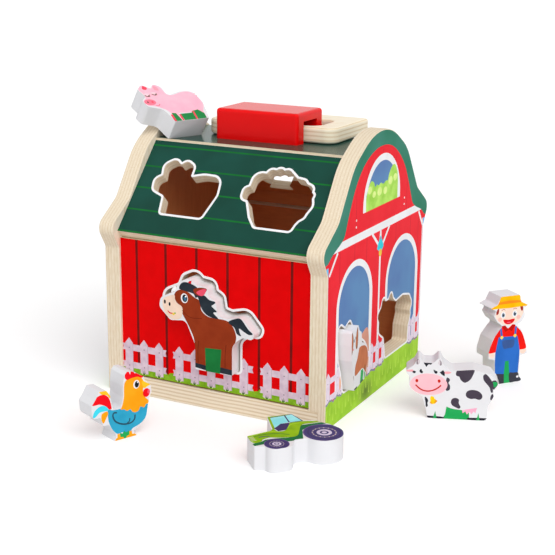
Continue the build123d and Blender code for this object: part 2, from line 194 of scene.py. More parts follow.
def mix(finish, factor, first, second):
    inputs = {MIX_FACTOR: factor, MIX_FIRST: first, MIX_SECOND: second}
    return finish.node("ShaderNodeMix", {"data_type": "RGBA"}, inputs, output=MIX_RESULT)


def noise(finish, vector, scale, detail=3.0, stretch=None):
    if stretch:
        vector = finish.node("ShaderNodeVectorMath", {"operation": "MULTIPLY"}, {0: vector, 1: stretch})
    inputs = {"Vector": vector, "Scale": scale, "Detail": detail}
    return finish.node("ShaderNodeTexNoise", None, inputs)


def ramp(finish, factor, stops):
    return finish.node("ShaderNodeValToRGB", {"stops": stops}, {0: factor})


BUMP_STRENGTH = 0.5


def bump(finish, height, distance):
    inputs = {"Height": height, "Distance": distance, "Strength": BUMP_STRENGTH}
    return finish.node("ShaderNodeBump", None, inputs)


print("a metre of the toy is", round(1 / MM), "steps in a finish's sums")

# %% [markdown]
# ## The painted shade inside
#
# The inside of the barn lies in shade, which shows through the holes as a warm brown. This shade is
# painted into the wood's colour. It could be a second material on chosen faces, but the solids are
# left as they are. Instead the finish asks of each point whether it lies on the inner skin of the
# boards: between the walls, over the floor and under the roof. The roof's inner face is known by how
# far it lies from the origin along its own slope.

# %% Where the inside of the barn is
SLOPE = 47.8
UP_SLOPE = (0.0, cos(radians(SLOPE)), sin(radians(SLOPE)))
OUT_SLOPE = (0.0, -UP_SLOPE[2], UP_SLOPE[1])
OUT_BACK_SLOPE = (0.0, UP_SLOPE[2], UP_SLOPE[1])
INNER_X = 73.7
INNER_Y = 74.5
INNER_ROOF = 135.15
FLOOR_TOP_Z = 13.3
ROOF_UNDER_Z = 167.9
SKIN = 0.1


def indoors(finish, place):
    """1 on the inner skin of the boards, 0 outside and in the thickness of the boards."""
    x, y, z = parts_of(finish, place)
    under_roof = INNER_ROOF + SKIN - (abs(y) * UP_SLOPE[2] + z * UP_SLOPE[1])
    walls = (INNER_X + SKIN - abs(x) > 0) * (INNER_Y + SKIN - abs(y) > 0)
    return walls * (under_roof > 0) * (z > FLOOR_TOP_Z - SKIN) * (ROOF_UNDER_Z + SKIN - z > 0)


print("brown inside from", FLOOR_TOP_Z, "to", ROOF_UNDER_Z, "mm up, and", 2 * INNER_X, "mm long")

# %% [markdown]
# ## Plywood
#
# The barn is birch plywood. Its broad faces show one sheet of veneer with long faint grain. Its
# edges show the glued plies: pale layers cut along the grain between slightly darker layers cut
# across it, with a thin brown glue line here and there. Which of the two a point shows depends on
# whether the surface faces along the board's thickness, so one material can serve the whole board.
# A picture of plywood would have to be fitted to each board. A sum follows every board by itself.

# %% The plywood finish
PALE_PLY = linear("#EADDC8")
WARM_PLY = linear("#DAC6A6")
GLUE_LINE = linear("#A5805C")
# painted shade: two browns that tint the wood where the inside of the barn lies in shade
INSIDE_SHADE_PALE = linear("#E6965C")
INSIDE_SHADE_DEEP = linear("#CC7C48")
ALONG_GRAIN = 0.12
WAVER_DEPTH = 1.2
FACE_ON = 0.85


def plywood(name, across, along, start, pitch, contrast=0.35, pale=PALE_PLY, warm=WARM_PLY):
    """across: unit direction of the board's thickness. along: unit direction of the face grain."""
    finish = Finish(name)
    place = millimetres(finish)
    squeeze = [ALONG_GRAIN if abs(a) > 0.5 else 1.0 for a in along]
    grain = noise(finish, place, scale=0.55, detail=5.0, stretch=squeeze)
    waver = noise(finish, place, scale=0.04, detail=2.0)
    ply = (dot(finish, place, across) - start + waver * WAVER_DEPTH) * (1 / pitch)
    wave = ply.math("PINGPONG", 0.5) * 2
    layers = ramp(finish, wave, [(0.0, GLUE_LINE), (0.08, warm), (0.35, warm), (0.6, pale), (1.0, pale)])
    patches = noise(finish, place, scale=0.12, stretch=squeeze)
    threads = noise(finish, place, scale=1.8, detail=4.0, stretch=squeeze)
    fibre = ramp(finish, threads, [(0.35, warm), (0.65, pale)])
    edge = mix(finish, patches * 1.2 * contrast + 0.4 * contrast, fibre, layers)
    face = ramp(finish, grain, [(0.30, warm), (0.50, pale), (0.72, pale)])
    facing = finish.node("ShaderNodeNewGeometry", output="Normal")
    is_face = abs(dot(finish, facing, across)) > FACE_ON
    # painted shade inside the barn, drifting between two browns with the grain
    brown = mix(finish, grain, INSIDE_SHADE_PALE, INSIDE_SHADE_DEEP)
    wood = mix(finish, is_face, edge, face)
    height = grain * is_face + wave * (1 - is_face) * 0.4
    finish.set(Base_Color=mix(finish, indoors(finish, place), wood, brown), Roughness=0.5 + grain * 0.2)
    finish.set(Normal=bump(finish, height, 0.04 * MM), Specular_IOR_Level=0.3)
    return finish


print("pale ply is", [round(c, 2) for c in PALE_PLY[:3]])

# %% The boards' plywoods
SIDEWAYS = (1.0, 0.0, 0.0)
BACKWARDS = (0.0, 1.0, 0.0)
UPWARDS = (0.0, 0.0, 1.0)
WALL_T = 12.0
WALL_PLIES = 5
HOUSE_HALF_L = 85.7
FRONT_Y = -82.5
PANEL_PLY = 2.67
FLOOR_PLY = 2.6
HANDLE_PLY = 2.8
HANDLE_UNDER_Z = 176.3
BOLD_PLIES = 0.85
HANDLE_PALE = linear("#F8EED8")
HANDLE_WARM = linear("#EEDDBC")
end_ply = plywood("end_wall_plywood", SIDEWAYS, UPWARDS, HOUSE_HALF_L, WALL_T / WALL_PLIES)
front_ply = plywood("front_panel_plywood", BACKWARDS, SIDEWAYS, FRONT_Y, PANEL_PLY)
slope_ply = plywood("front_roof_plywood", OUT_SLOPE, SIDEWAYS, 0.0, PANEL_PLY)
back_slope_ply = plywood("back_roof_plywood", OUT_BACK_SLOPE, SIDEWAYS, 0.0, PANEL_PLY)
flat_ply = plywood("floor_plywood", UPWARDS, SIDEWAYS, 0.0, FLOOR_PLY, BOLD_PLIES)
handle_ply = plywood(
    "handle_plywood", UPWARDS, SIDEWAYS, HANDLE_UNDER_Z, HANDLE_PLY, BOLD_PLIES, HANDLE_PALE, HANDLE_WARM,
)
plywoods = (end_ply, front_ply, slope_ply, back_slope_ply, flat_ply, handle_ply)
print("plywood finishes:", [finish.material.name for finish in plywoods])

# %% [markdown]
# ## Lacquer, white paint, dowel wood and steel
#
# The handle's saddle is dipped in thick red lacquer: a coat over a strong base colour, with the
# faint ripple that lacquer keeps as it dries. The blocks' sides have a matt white paint that lets a
# little wood fibre show through. Dowels are bare beech, screws are zinc-plated steel. Paint and
# beech differ only in colour and gloss, so one function makes both, and steel is made by itself.

# %% The painted and plain finishes
def painted(name, colour, shade, roughness, coat=0.0, grain_depth=0.03, sheen=0.3):
    finish = Finish(name)
    place = millimetres(finish)
    cloud = noise(finish, place, scale=0.08)
    fibre = noise(finish, place, scale=0.9, detail=4.0, stretch=(1.0, 1.0, 0.25))
    finish.set(Base_Color=mix(finish, cloud * 0.9, linear(colour), linear(shade)))
    finish.set(Roughness=roughness - 0.06 + fibre * 0.12, Coat_Weight=coat, Coat_Roughness=0.06)
    finish.set(Normal=bump(finish, fibre, grain_depth * MM), Specular_IOR_Level=sheen)
    return finish


lacquer = painted("red_lacquer", "#EA0002", "#E00002", 0.24, coat=0.08, grain_depth=0.004, sheen=0.12)
white_paint = painted("white_block_paint", "#E4E4E7", "#DEDEE1", 0.55)
dowel = painted("beech_dowel", "#DDB98A", "#C79F6C", 0.6)

steel = Finish("zinc_plated_steel")
turning = noise(steel, millimetres(steel), scale=2.2, stretch=(1.0, 1.0, 0.1))
steel.set(Base_Color=mix(steel, turning, linear("#B9BABD"), linear("#8E9094")), Metallic=0.95)
steel.set(Roughness=0.28 + turning * 0.2)
print("plain finishes:", [finish.material.name for finish in (lacquer, white_paint, dowel, steel)])

# %% [markdown]
# ## The roof top
#
# Only the upper side of the top panel is painted: its front edge shows as a thin pale line of
# bare wood along the ridge. A separate sheet would do, but paint lies on the wood itself, so the
# plywood finish is taken as it is and the green is switched on where the surface looks up.

# %% Green above, bare wood below
PAINT_LOW_Z = 175.0
LOOKS_UP = 0.5
roof_top = plywood("roof_top_paint", UPWARDS, SIDEWAYS, ROOF_UNDER_Z, PANEL_PLY)
look_up = parts_of(roof_top, roof_top.node("ShaderNodeNewGeometry", output="Normal"))[2]
height = parts_of(roof_top, millimetres(roof_top))[2]
top_side = (look_up > LOOKS_UP) * (height > PAINT_LOW_Z)
bare = Value(roof_top.shader.inputs["Base Color"].links[0].from_socket)
top_cloud = noise(roof_top, millimetres(roof_top), scale=0.06)
top_green = mix(roof_top, top_cloud, linear("#1C4A40"), linear("#163E36"))
roof_top.set(Base_Color=mix(roof_top, top_side, bare, top_green))
roof_top.set(Roughness=0.5 - top_side * 0.28, Specular_IOR_Level=0.12)

# %% [markdown]
# ## Give the solids their finishes
#
# Each solid keeps its own mesh. Only the material in its slots changes. The boards that are cut
# alike share a plywood, and a node that isn't in the list is one of the white-painted blocks.

# %% Put the finishes on
FINISH_OF = {
    "left_end_wall": end_ply, "right_end_wall": end_ply, "front_wall_panel": front_ply,
    "back_flap": front_ply, "front_roof_panel": slope_ply, "back_roof_panel": back_slope_ply,
    "roof_top_panel": roof_top, "floor_board": flat_ply, "handle_plate": handle_ply,
    "handle_saddle": lacquer, "flap_pins": dowel, "front_wall_dowels": dowel,
    "front_roof_dowels": dowel, "back_roof_dowels": dowel, "roof_top_dowels": dowel,
    "floor_screws": steel, "saddle_screws": steel,
}
for name, solid in frame["nodes"].items():
    finish = FINISH_OF.get(name, white_paint)
    solid.data.materials.clear()
    solid.data.materials.append(finish.material)
print("finished solids:", len(frame["nodes"]))

# %% [markdown]
# ## Ink
#
# The pictures are printed in flat colours on a white ground, and under the print the wood grain
# still shows as a faint relief. Each ink is a finish of its own. Two close shades drift into each
# other, which is what keeps a printed area from looking like cut plastic. Where no second shade is
# given, it is the first one a little darker.

# %% The ink finish
inks = {}
DARKER = 0.90
INK_STRETCH = (1.0, 1.0, 0.3)


def ink(name, colour, shade=None, patch=0.10, roughness=0.45, sheen=0.04):
    finish = Finish("ink_" + name)
    place = millimetres(finish)
    drift = noise(finish, place, scale=patch, detail=2.0)
    fibre = noise(finish, place, scale=1.1, detail=4.0, stretch=INK_STRETCH)
    second = linear(shade) if shade else tuple(DARKER * c for c in linear(colour)[:3]) + (1.0,)
    drifting = ramp(finish, drift, [(0.35, linear(colour)), (0.65, second)])
    finish.set(Base_Color=drifting, Roughness=roughness - 0.05 + fibre * 0.10)
    finish.set(Normal=bump(finish, fibre, 0.02 * MM), Specular_IOR_Level=sheen)
    inks[name] = finish.material


ink("white", "#F0F0F2", "#EAEAEC")
print("first ink:", inks["white"].name)

# %% [markdown]
# ## A face to print on
#
# A printed face is a flat plane with its own x and y in millimetres, as the picture's artist
# would have drawn it. The class turns those into places in the frame. It also reads the face's
# true outline and holes back from the solid: triangles that lie in the plane are collected, and
# an edge that only one of them uses is on the border.

# %% The face class
PLANE_TOLERANCE = 0.02
SAME_WAY = 0.9
CORNER_DIGITS = 2


class Face:
    def __init__(self, origin, x_dir, y_dir):
        self.origin = Vector(origin)
        self.x_dir = Vector(x_dir).normalized()
        self.y_dir = Vector(y_dir).normalized()
        self.normal = self.x_dir.cross(self.y_dir)

    def flat(self, place):
        offset = place / MM - self.origin
        return offset.dot(self.x_dir), offset.dot(self.y_dir), offset.dot(self.normal)

    def place(self, x, y, lift):
        return (self.origin + self.x_dir * x + self.y_dir * y + self.normal * lift) * MM

    def loops(self, solid):
        """Closed outlines of the solid's surface in this plane, in mm, the largest first."""
        flats = [self.flat(v.co) for v in solid.data.vertices]
        used = {}
        for polygon in solid.data.polygons:
            corners = [flats[i] for i in polygon.vertices]
            off_plane = max(abs(c[2]) for c in corners)
            if off_plane > PLANE_TOLERANCE or polygon.normal.dot(self.normal) < SAME_WAY:
                continue
            keys = [(round(c[0], CORNER_DIGITS), round(c[1], CORNER_DIGITS)) for c in corners]
            for a, b in zip(keys, keys[1:] + keys[:1]):
                if (b, a) in used:
                    del used[(b, a)]
                elif a != b:
                    used[(a, b)] = True
        after = {}
        for a, b in used:
            after.setdefault(a, []).append(b)
        found = []
        while after:
            start = next(iter(after))
            loop = [start]
            here = after[start].pop()
            while here != start:
                loop.append(here)
                here = after[here].pop()
            after = {a: ends for a, ends in after.items() if ends}
            found.append(loop)
        return sorted(found, key=lambda loop: -abs(area(loop)))


def area(points):
    total = 0.0
    for (x0, y0), (x1, y1) in zip(points, points[1:] + points[:1]):
        total += x0 * y1 - x1 * y0
    return total / 2


FRONT = Face((0, FRONT_Y, 0), SIDEWAYS, UPWARDS)
front_loops = FRONT.loops(frame["nodes"]["front_wall_panel"])
print("front wall:", len(front_loops), "loops, areas", [round(area(loop)) for loop in front_loops])

# %% [markdown]
# ## Shapes of ink
#
# Every motif is built from a few kinds of shape: a straight-sided patch, a patch with a smooth
# outline, an oval, and a stroke of a given width. A smooth outline passes a curve through its
# points, so that eight points are enough for a cow's patch. Shapes are listed in the order a
# printer would lay them, and a later one covers an earlier one.

# %% Patches, ovals and strokes
CURVE_STEPS = 5


def patch(colour, *points):
    return [(colour, list(points))]


def curved(points, closed=True):
    """A smooth line through the points."""
    count = len(points)
    made = []
    for i in range(count if closed else count - 1):
        near = [i + k for k in (-1, 0, 1, 2)]
        around = [points[n % count] if closed else points[min(max(n, 0), count - 1)] for n in near]
        for step in range(CURVE_STEPS):
            t = step / CURVE_STEPS
            weights = (
                -0.5 * t + t * t - 0.5 * t ** 3, 1 - 2.5 * t * t + 1.5 * t ** 3,
                0.5 * t + 2 * t * t - 1.5 * t ** 3, -0.5 * t * t + 0.5 * t ** 3,
            )
            made.append(tuple(sum(w * p[axis] for w, p in zip(weights, around)) for axis in (0, 1)))
    return made if closed else made + [tuple(points[-1])]


def blob(colour, *points):
    return [(colour, curved(points))]


def oval(colour, x, y, width, height=None, count=28):
    height = height or width
    turns = [2 * pi * i / count for i in range(count)]
    return [(colour, [(x + width / 2 * cos(a), y + height / 2 * sin(a)) for a in turns])]


def sides(points, amount, closed=False):
    """The points moved to the left of their line by an amount."""
    count = len(points)
    moved = []
    for i, (x, y) in enumerate(points):
        before = points[i - 1] if closed or i > 0 else points[i]
        after = points[(i + 1) % count] if closed or i < count - 1 else points[i]
        turn = atan2(after[1] - before[1], after[0] - before[0])
        moved.append((x - amount * sin(turn), y + amount * cos(turn)))
    return moved


def ribbon(colour, first, second, closed=False):
    """Triangles between two lines that run side by side."""
    pieces = []
    count = len(first)
    for i in range(count if closed else count - 1):
        j = (i + 1) % count
        pieces += [(colour, [first[i], first[j], second[j]]), (colour, [first[i], second[j], second[i]])]
    return pieces


def stroke(colour, width, *points, smooth=False):
    line = curved(points, closed=False) if smooth else list(points)
    return ribbon(colour, sides(line, -width / 2), sides(line, width / 2))


def border(colour, loop, width):
    return ribbon(colour, loop, sides(loop, width, closed=True), closed=True)


bow = stroke("white", 1, (0, 0), (1, 1), (2, 0), smooth=True)
print("a smooth stroke through 3 points has", len(bow), "triangles")

# %% [markdown]
# ## Laying the sheet
#
# Stacking one flat shape on another would leave faces that fight for the same place. A Delaunay
# triangulation solves it: all outlines go in together, it cuts the plane along every one of
# them, and it says for each triangle which shapes hold it. The last of those is the ink that
# shows. Triangles outside the wood or over a hole are dropped, and what is left is one thin sheet.
# A thin sliver can collapse to a line there, and then its ink spills over the whole plane. So
# slivers with next to no area are left out, and a triangle only counts as inside a shape when its
# middle is within the shape's span.

# %% Outlines that the cutter can take
SMALLEST_PIECE = 0.002


def crosses_itself(points):
    count = len(points)
    for i in range(count):
        a, b = points[i], points[(i + 1) % count]
        for j in range(i + 2, count):
            c, d = points[j], points[(j + 1) % count]
            if i == 0 and j == count - 1:
                continue
            sides_ab = [area([a, b, c]) > 0, area([a, b, d]) > 0]
            sides_cd = [area([c, d, a]) > 0, area([c, d, b]) > 0]
            if sides_ab[0] != sides_ab[1] and sides_cd[0] != sides_cd[1]:
                return True
    return False


def simple_pieces(points):
    """The outline itself, or its triangles where it crosses itself, all anticlockwise."""
    pieces = [points]
    if len(points) > 3 and crosses_itself(points):
        corners = [Vector((x, y, 0)) for x, y in points]
        pieces = [[points[i] for i in tri] for tri in tessellate_polygon([corners])]
    pieces = [piece for piece in pieces if abs(area(piece)) > SMALLEST_PIECE]
    return [piece if area(piece) > 0 else piece[::-1] for piece in pieces]


print("a bow tie is cut into", len(simple_pieces([(0, 0), (2, 2), (2, 0), (0, 2)])), "triangles")

# %% Which ink shows where
SAME_POINT = 1e-5
INSIDE_ONLY = 1
HOLE = "hole"


def within(span, point):
    return span[0] <= point[0] <= span[1] and span[2] <= point[1] <= span[3]


def inked_cells(layers):
    """The plane cut along all outlines: its corners, and each cell that shows, with its ink."""
    corners = []
    faces = []
    owner = []
    spans = []
    for index, (colour, pieces) in enumerate(layers):
        for piece in pieces:
            faces.append(list(range(len(corners), len(corners) + len(piece))))
            corners += [Vector(p) for p in piece]
            owner.append(index)
            across, up = zip(*piece)
            spans.append((min(across), max(across), min(up), max(up)))
    cut = delaunay_2d_cdt(corners, [], faces, INSIDE_ONLY, SAME_POINT)
    flat, cells, cell_sources = cut[0], cut[2], cut[5]
    colours = [colour for colour, pieces in layers]
    holes = {i for i, colour in enumerate(colours) if colour == HOLE}
    shown = []
    for cell, sources in zip(cells, cell_sources):
        middle = sum((flat[i] for i in cell), Vector((0, 0))) / len(cell)
        held = {owner[s] for s in sources if within(spans[s], middle)}
        top = colours[max(held)] if held else None
        if 0 in held and not held & holes and top:
            shown.append((list(cell), top))
    return flat, shown


board = [(0, 0), (3, 0), (3, 3), (0, 3)]
window = [(1, 1), (2, 1), (1, 2)]
shown = inked_cells([("red", [board]), (HOLE, [window])])[1]
print("a square board with a three-cornered hole is cut into", len(shown), "triangles")

# %% The sheet function
INK_LIFT = 0.04


def print_sheet(name, node, face, shapes, ground=None):
    loops = face.loops(frame["nodes"][node])
    layers = [(ground, simple_pieces(loops[0]))]
    layers += [(HOLE, simple_pieces(loop)) for loop in loops[1:]]
    layers += [(colour, simple_pieces(points)) for colour, points in shapes]
    flat, shown = inked_cells(layers)
    used_inks = sorted({top for cell, top in shown})
    used_corners = sorted({i for cell, top in shown for i in cell})
    new_index = {old: new for new, old in enumerate(used_corners)}
    mesh = bpy.data.meshes.new(name)
    places = [face.place(flat[i][0], flat[i][1], INK_LIFT) for i in used_corners]
    mesh.from_pydata(places, [], [[new_index[i] for i in cell] for cell, top in shown])
    for colour in used_inks:
        mesh.materials.append(inks[colour])
    for polygon, (cell, top) in zip(mesh.polygons, shown):
        polygon.material_index = used_inks.index(top)
    sheet = bpy.data.objects.new(name, mesh)
    bpy.context.scene.collection.objects.link(sheet)
    body = next(b for b, members in frame["record"]["behaviour"]["bodies"].items() if node in members)
    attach(sheet, body)
    print(name, "rides on", body, "with", len(mesh.polygons), "triangles and", len(used_inks), "inks")


# %% [markdown]
# ## The front wall
#
# Seven red planks with dark grooves, a picket fence over a strip of grass, and a white line
# round the horse-shaped hole. The walls share their fences, so one function draws one picket, one
# draws a rail, and a third puts a fence together from its groups of pickets.

# %% Inks of the front wall
ink("barn_red", "#E00003", "#D80002")
ink("groove", "#7A1614", "#6A1210")
ink("picket", "#DCC8D4", "#CDB6C6", patch=0.25)
ink("picket_edge", "#C3AEBD")
ink("nail", "#8F7F8B")
ink("grass", "#86B62A", "#74A31C", patch=0.3)
ink("tuft", "#3F6A1C")
ink("tuft_pale", "#E3E6C0")
ink("soil", "#6E4A22")
print("inks so far:", len(inks))

# %% One picket, and the fence
PICKET_HALF = 3.25
PICKET_SHADE = 0.25
RAIL_NOTCH = 0.8
TUFT_BLADES = ((-2.2, 1.8), (-1.0, 3.0), (0.3, 3.6), (1.5, 2.6), (2.6, 1.6))


def picket(x, tip, shoulder, foot, colour):
    left = x - PICKET_HALF
    right = x + PICKET_HALF
    made = patch(colour, (left, foot), (right, foot), (right, shoulder), (x, tip), (left, shoulder))
    shaded = right - PICKET_SHADE
    made += stroke("picket_edge", 2 * PICKET_SHADE, (shaded, foot), (shaded, shoulder))
    for z in (tip - 7.5, foot + 4.5):
        made += oval("nail", x, z, 1, count=10)
    return made


def tuft(x, z):
    made = []
    for lean, tall in TUFT_BLADES:
        colour = "tuft" if tall > 2 else "tuft_pale"
        made += patch(colour, (x + lean * 0.4 - 0.4, z), (x + lean * 0.4 + 0.4, z), (x + lean, z + tall))
    return made


def rail(left, right, low, high, colour):
    middle = (low + high) / 2
    return patch(
        colour, (left, low), (right, low), (right - RAIL_NOTCH, middle), (right, high), (left, high),
        (left + RAIL_NOTCH, middle),
    )


def fence(groups, rails, picket_heights, colour="picket", tuft_z=None):
    made = []
    for left, right, pickets in groups:
        for low, high in rails:
            made += rail(left, right, low, high, colour)
        for x in pickets:
            made += picket(x, *picket_heights, colour)
            if tuft_z:
                made += tuft(x - 0.5, tuft_z)
    return made


print("one picket is", len(picket(0, 41, 37, 16, "picket")), "shapes")

# %% Grooves and grass
GROOVES = (-60.5, -37.0, -12.5, 11.5, 35.5, 59.5)
GROOVE_W = 1.9
PRINT_HALF = 74
GRASS_Z = 19.6


def grooves(low, high):
    made = []
    for x in GROOVES:
        made += stroke("groove", GROOVE_W, (x, low), (x, high))
    return made


def grass(foot, drop=0):
    """A strip of grass with a ragged top, let down by an amount."""
    line = range(-PRINT_HALF, PRINT_HALF + 1)
    top = [(x, GRASS_Z + 0.9 * sin(x * 0.9) + 0.5 * sin(x * 2.3) - drop) for x in line]
    return [("grass", [(-PRINT_HALF, foot)] + top + [(PRINT_HALF, foot)])]


print("grass strip with", len(grass(13)[0][1]), "points")

# %% The front wall's print
FRONT_RAILS = ((31.5, 36.3), (18.6, 23.2))
FRONT_PICKETS = (41.0, 37.0, 15.8)
FRONT_FENCE = (
    (-74.0, -37.5, (-68.5, -56.0, -43.5)),
    (-32.3, 31.3, (-27.0, -14.5, -1.5, 11.5, 24.0)),
    (36.3, 73.7, (42.0, 54.5, 67.0)),
)
FRONT_BORDER = 1.7
front_art = grooves(15, 113) + grass(13)
front_art += fence(FRONT_FENCE, FRONT_RAILS, FRONT_PICKETS, tuft_z=15.0)
front_art += stroke("soil", 0.5, (-PRINT_HALF, 14.1), (PRINT_HALF, 14.1))
front_art += border("white", front_loops[1], FRONT_BORDER)
print_sheet("front_wall_print", "front_wall_panel", FRONT, front_art, ground="barn_red")

# %% [markdown]
# ## The front roof
#
# Dark green boards with brighter lines where they overlap. The lines are 17.6 mm apart up the
# slope, and each of the two holes has a white border. The back roof isn't in view, so it carries
# the same lines round its own holes.

# %% Inks and lines of the roof
ink("roof_green", "#12473C", "#0F3E33", patch=0.03, roughness=0.38, sheen=0.12)
ink("roof_line", "#0B6E28", "#0A6424", roughness=0.38, sheen=0.12)
ROOF_LOW_Y = 85.9
ROOF_LOW_Z = 118.3
ROOF_LINES = (0.9, 18.5, 36.2, 53.8, 71.3)
ROOF_LINE_W = 1.1
ROOF_BORDER = 1.6
FRONT_ROOF = Face((0, -ROOF_LOW_Y, ROOF_LOW_Z), SIDEWAYS, UP_SLOPE)
BACK_ROOF = Face((0, ROOF_LOW_Y, ROOF_LOW_Z), (-1, 0, 0), (0, -UP_SLOPE[1], UP_SLOPE[2]))


def roof_art(face, node):
    made = []
    for up in ROOF_LINES:
        made += stroke("roof_line", ROOF_LINE_W, (-75, up), (75, up))
    for loop in face.loops(frame["nodes"][node])[1:]:
        made += border("white", loop, ROOF_BORDER)
    return made


for side, face in (("front_roof", FRONT_ROOF), ("back_roof", BACK_ROOF)):
    node = side + "_panel"
    print_sheet(side + "_print", node, face, roof_art(face, node), ground="roof_green")

# %% [markdown]
# ## The end walls
#
# The gable is the barn's show side: a green verge under the roof line, a white cross beam, an
# arched hay window with bushes in it, two arched doors, a hoist, and the fence and grass again.
# Each of these has a short function of its own. The left wall isn't in view, so it repeats the same
# design round its own hole, which is what makers of such toys do.

# %% Inks of the end walls
# painted sheen: the side red is the barn red made lighter and pinker, as light washes the end walls
ink("side_red", "#EF2432", "#E81E2C", patch=0.04)
ink("side_seam", "#C21A28")
ink("verge", "#2B785E", "#46897A", patch=0.02)
ink("window_blue", "#5F8AB8", "#5878AE", patch=0.03)
ink("window_shade", "#4A5E92", "#52689C", patch=0.04)
ink("bush", "#BCE86A", "#9CD24C", patch=0.12)
ink("bush_light", "#E2F59A", "#D2EE82", patch=0.2)
ink("sky", "#54B6F0", "#7AC8F2")
ink("side_grass", "#A8D63C", "#92C42E", patch=0.07)
ink("grass_light", "#CBE85C", "#BCE04C", patch=0.2)
ink("side_picket", "#EADCEA", "#DECDDF", patch=0.3)
ink("peach", "#F2AE84")
ink("grass_shade", "#8E8AA0")
ink("hill", "#D89C86", "#CF917C")
ink("hoist_blue", "#34D2E6")
ink("hoist_yellow", "#F2CE4A")
ink("hoist_pin", "#D0287A")
print("inks so far:", len(inks))

# %% Inks of the painted shadow on the grass
# painted shadow: greens that darken step by step from the grass towards the middle of the shadow
PAINTED_SHADOW_STEPS = 7
PAINTED_SHADOW_EDGE = (0xA8, 0xD6, 0x3C)
PAINTED_SHADOW_MIDDLE = (0x6C, 0x8A, 0x34)
for step in range(PAINTED_SHADOW_STEPS):
    depth = (step + 1) / PAINTED_SHADOW_STEPS
    red, green, blue = (round(a + (b - a) * depth) for a, b in zip(PAINTED_SHADOW_EDGE, PAINTED_SHADOW_MIDDLE))
    ink(f"grass_smear_{step}", f"#{red:02X}{green:02X}{blue:02X}")
print("the smear darkens in", PAINTED_SHADOW_STEPS, "steps")

# %% Arches, planks and the cross beam
BEAM_LOW = 119.4
BEAM_TOP = 124.9
SEAM_W = 0.45


def arch(colour, centre, half, spring, foot):
    turns = [pi * i / 24 for i in range(25)]
    top = [(centre + half * cos(a), spring + half * sin(a)) for a in turns]
    return patch(colour, (centre - half, foot), (centre + half, foot), *top)


def side_planks():
    made = []
    for y in (-41.5, -23.0, 2.0, 26.0, 48.0):
        made += stroke("side_seam", SEAM_W, (y, 124), (y, 176 - 0.012 * y * y))
    for y in (-66.0, -42.5, -22.5, 29.5, 57.5, 73.5):
        made += stroke("side_seam", SEAM_W, (y, 20), (y, 120))
    return made + patch("white", (-90, BEAM_LOW), (92, BEAM_LOW), (92, BEAM_TOP), (-90, BEAM_TOP))


print("seams and beam:", len(side_planks()), "shapes")

# %% The hay window
WINDOW_Y = 2.0
WINDOW_FOOT = 137.0
WINDOW_SPRING = 140.5
BUSH_TOPS = (
    (-26, 146), (-23, 152.5), (-18.5, 156.8), (-13.5, 155.5), (-11, 152), (-8, 153.2), (-5, 152),
    (-1, 153.2), (3, 151.8), (8, 153.2), (11, 153), (13, 157), (17, 161), (21, 162.5), (25, 161),
    (28.5, 156),
)
BUSH_LIGHTS = ((-20, 151, 7), (-12.5, 147, 6), (-3, 147.5, 8), (7, 146.5, 7), (16, 152, 8), (24.5, 153, 7))


def hay_window():
    made = arch("white", WINDOW_Y, 32.5, WINDOW_SPRING, WINDOW_FOOT)
    made += arch("window_blue", WINDOW_Y, 27.7, WINDOW_SPRING, WINDOW_FOOT)
    made += patch("window_shade", (-25.7, WINDOW_FOOT), (-19.5, WINDOW_FOOT), (-20.5, 156), (-25.7, 148))
    bushes = curved(BUSH_TOPS, closed=False)
    made += [("bush", [(-25.7, WINDOW_FOOT)] + bushes + [(29.7, 150), (29.7, WINDOW_FOOT)])]
    for y, z, width in BUSH_LIGHTS:
        made += oval("bush_light", y, z, width, width * 0.75, count=14)
    made += patch("side_red", (-40, BEAM_TOP), (44, BEAM_TOP), (44, 137.2), (-40, 137.2))
    for y, z in ((-41, 134.6), (-41, 130), (43.5, 134.6), (43.5, 130)):
        made += oval("white", y, z, 1.6, count=12)
    return made


print("hay window:", len(hay_window()), "shapes")

# %% The doors and the hoist
DOOR_TOP = 107.6
DOOR_FOOT = 16
DOOR_FRAME = 4.4


def doors():
    made = []
    for middle, half in ((-40.2, 29.6), (44.2, 31.2)):
        spring = DOOR_TOP - half
        made += arch("white", middle, half, spring, DOOR_FOOT)
        made += arch("window_blue", middle - 0.6, half - DOOR_FRAME, spring, DOOR_FOOT)
    made += blob("hill", (-36, DOOR_FOOT), (-36, 48), (-28, 51.5), (-15.6, 52), (-15.6, DOOR_FOOT))
    return made + patch("side_red", (-10.6, DOOR_FOOT), (-10.6, 40), (13, 40), (13, DOOR_FOOT))


def hoist():
    made = stroke("white", 2.2, (-69.5, 119), (-82, 106)) + stroke("white", 2.2, (73.5, 119), (83, 106))
    made += stroke("white", 2.3, (-13.5, 119.6), (-1.2, 109))
    made += stroke("white", 2.3, (17, 119.6), (4.4, 108))
    made += stroke("white", 2.7, (1.2, 103), (1.2, 38))
    made += patch("white", (0.2, 120), (2.4, 120), (3.4, 110), (-1.0, 110))
    made += patch(
        "hoist_blue", (0.6, 115.5), (2, 115.5), (7.2, 107.4), (4.4, 104.6), (-1.6, 105.2), (-4.6, 107.2),
    )
    made += oval("hoist_pin", 1.3, 113.6, 1.5, count=12)
    return made + oval("hoist_yellow", 1.6, 103.4, 5.2, 5.6, count=16)


print("doors and hoist:", len(doors()), "and", len(hoist()), "shapes")

# %% The verge and the wall's upright edges
VERGE_EDGE = (
    (-84.5, 114.5), (-76, 119.6), (-66, 123.6), (-59.5, 127.5), (-55.5, 135.5), (-50, 146), (-42, 158.5),
    (-30, 169.5), (-14.5, 176.5), (1.5, 178.6), (17, 176.2), (31, 168.8), (42.5, 158), (50.5, 145.5),
    (56, 135), (60.5, 127.5), (68, 123.4), (78, 119.6), (85, 114.5),
)
SKY_Y = 84.8
SKY_W = 3.0


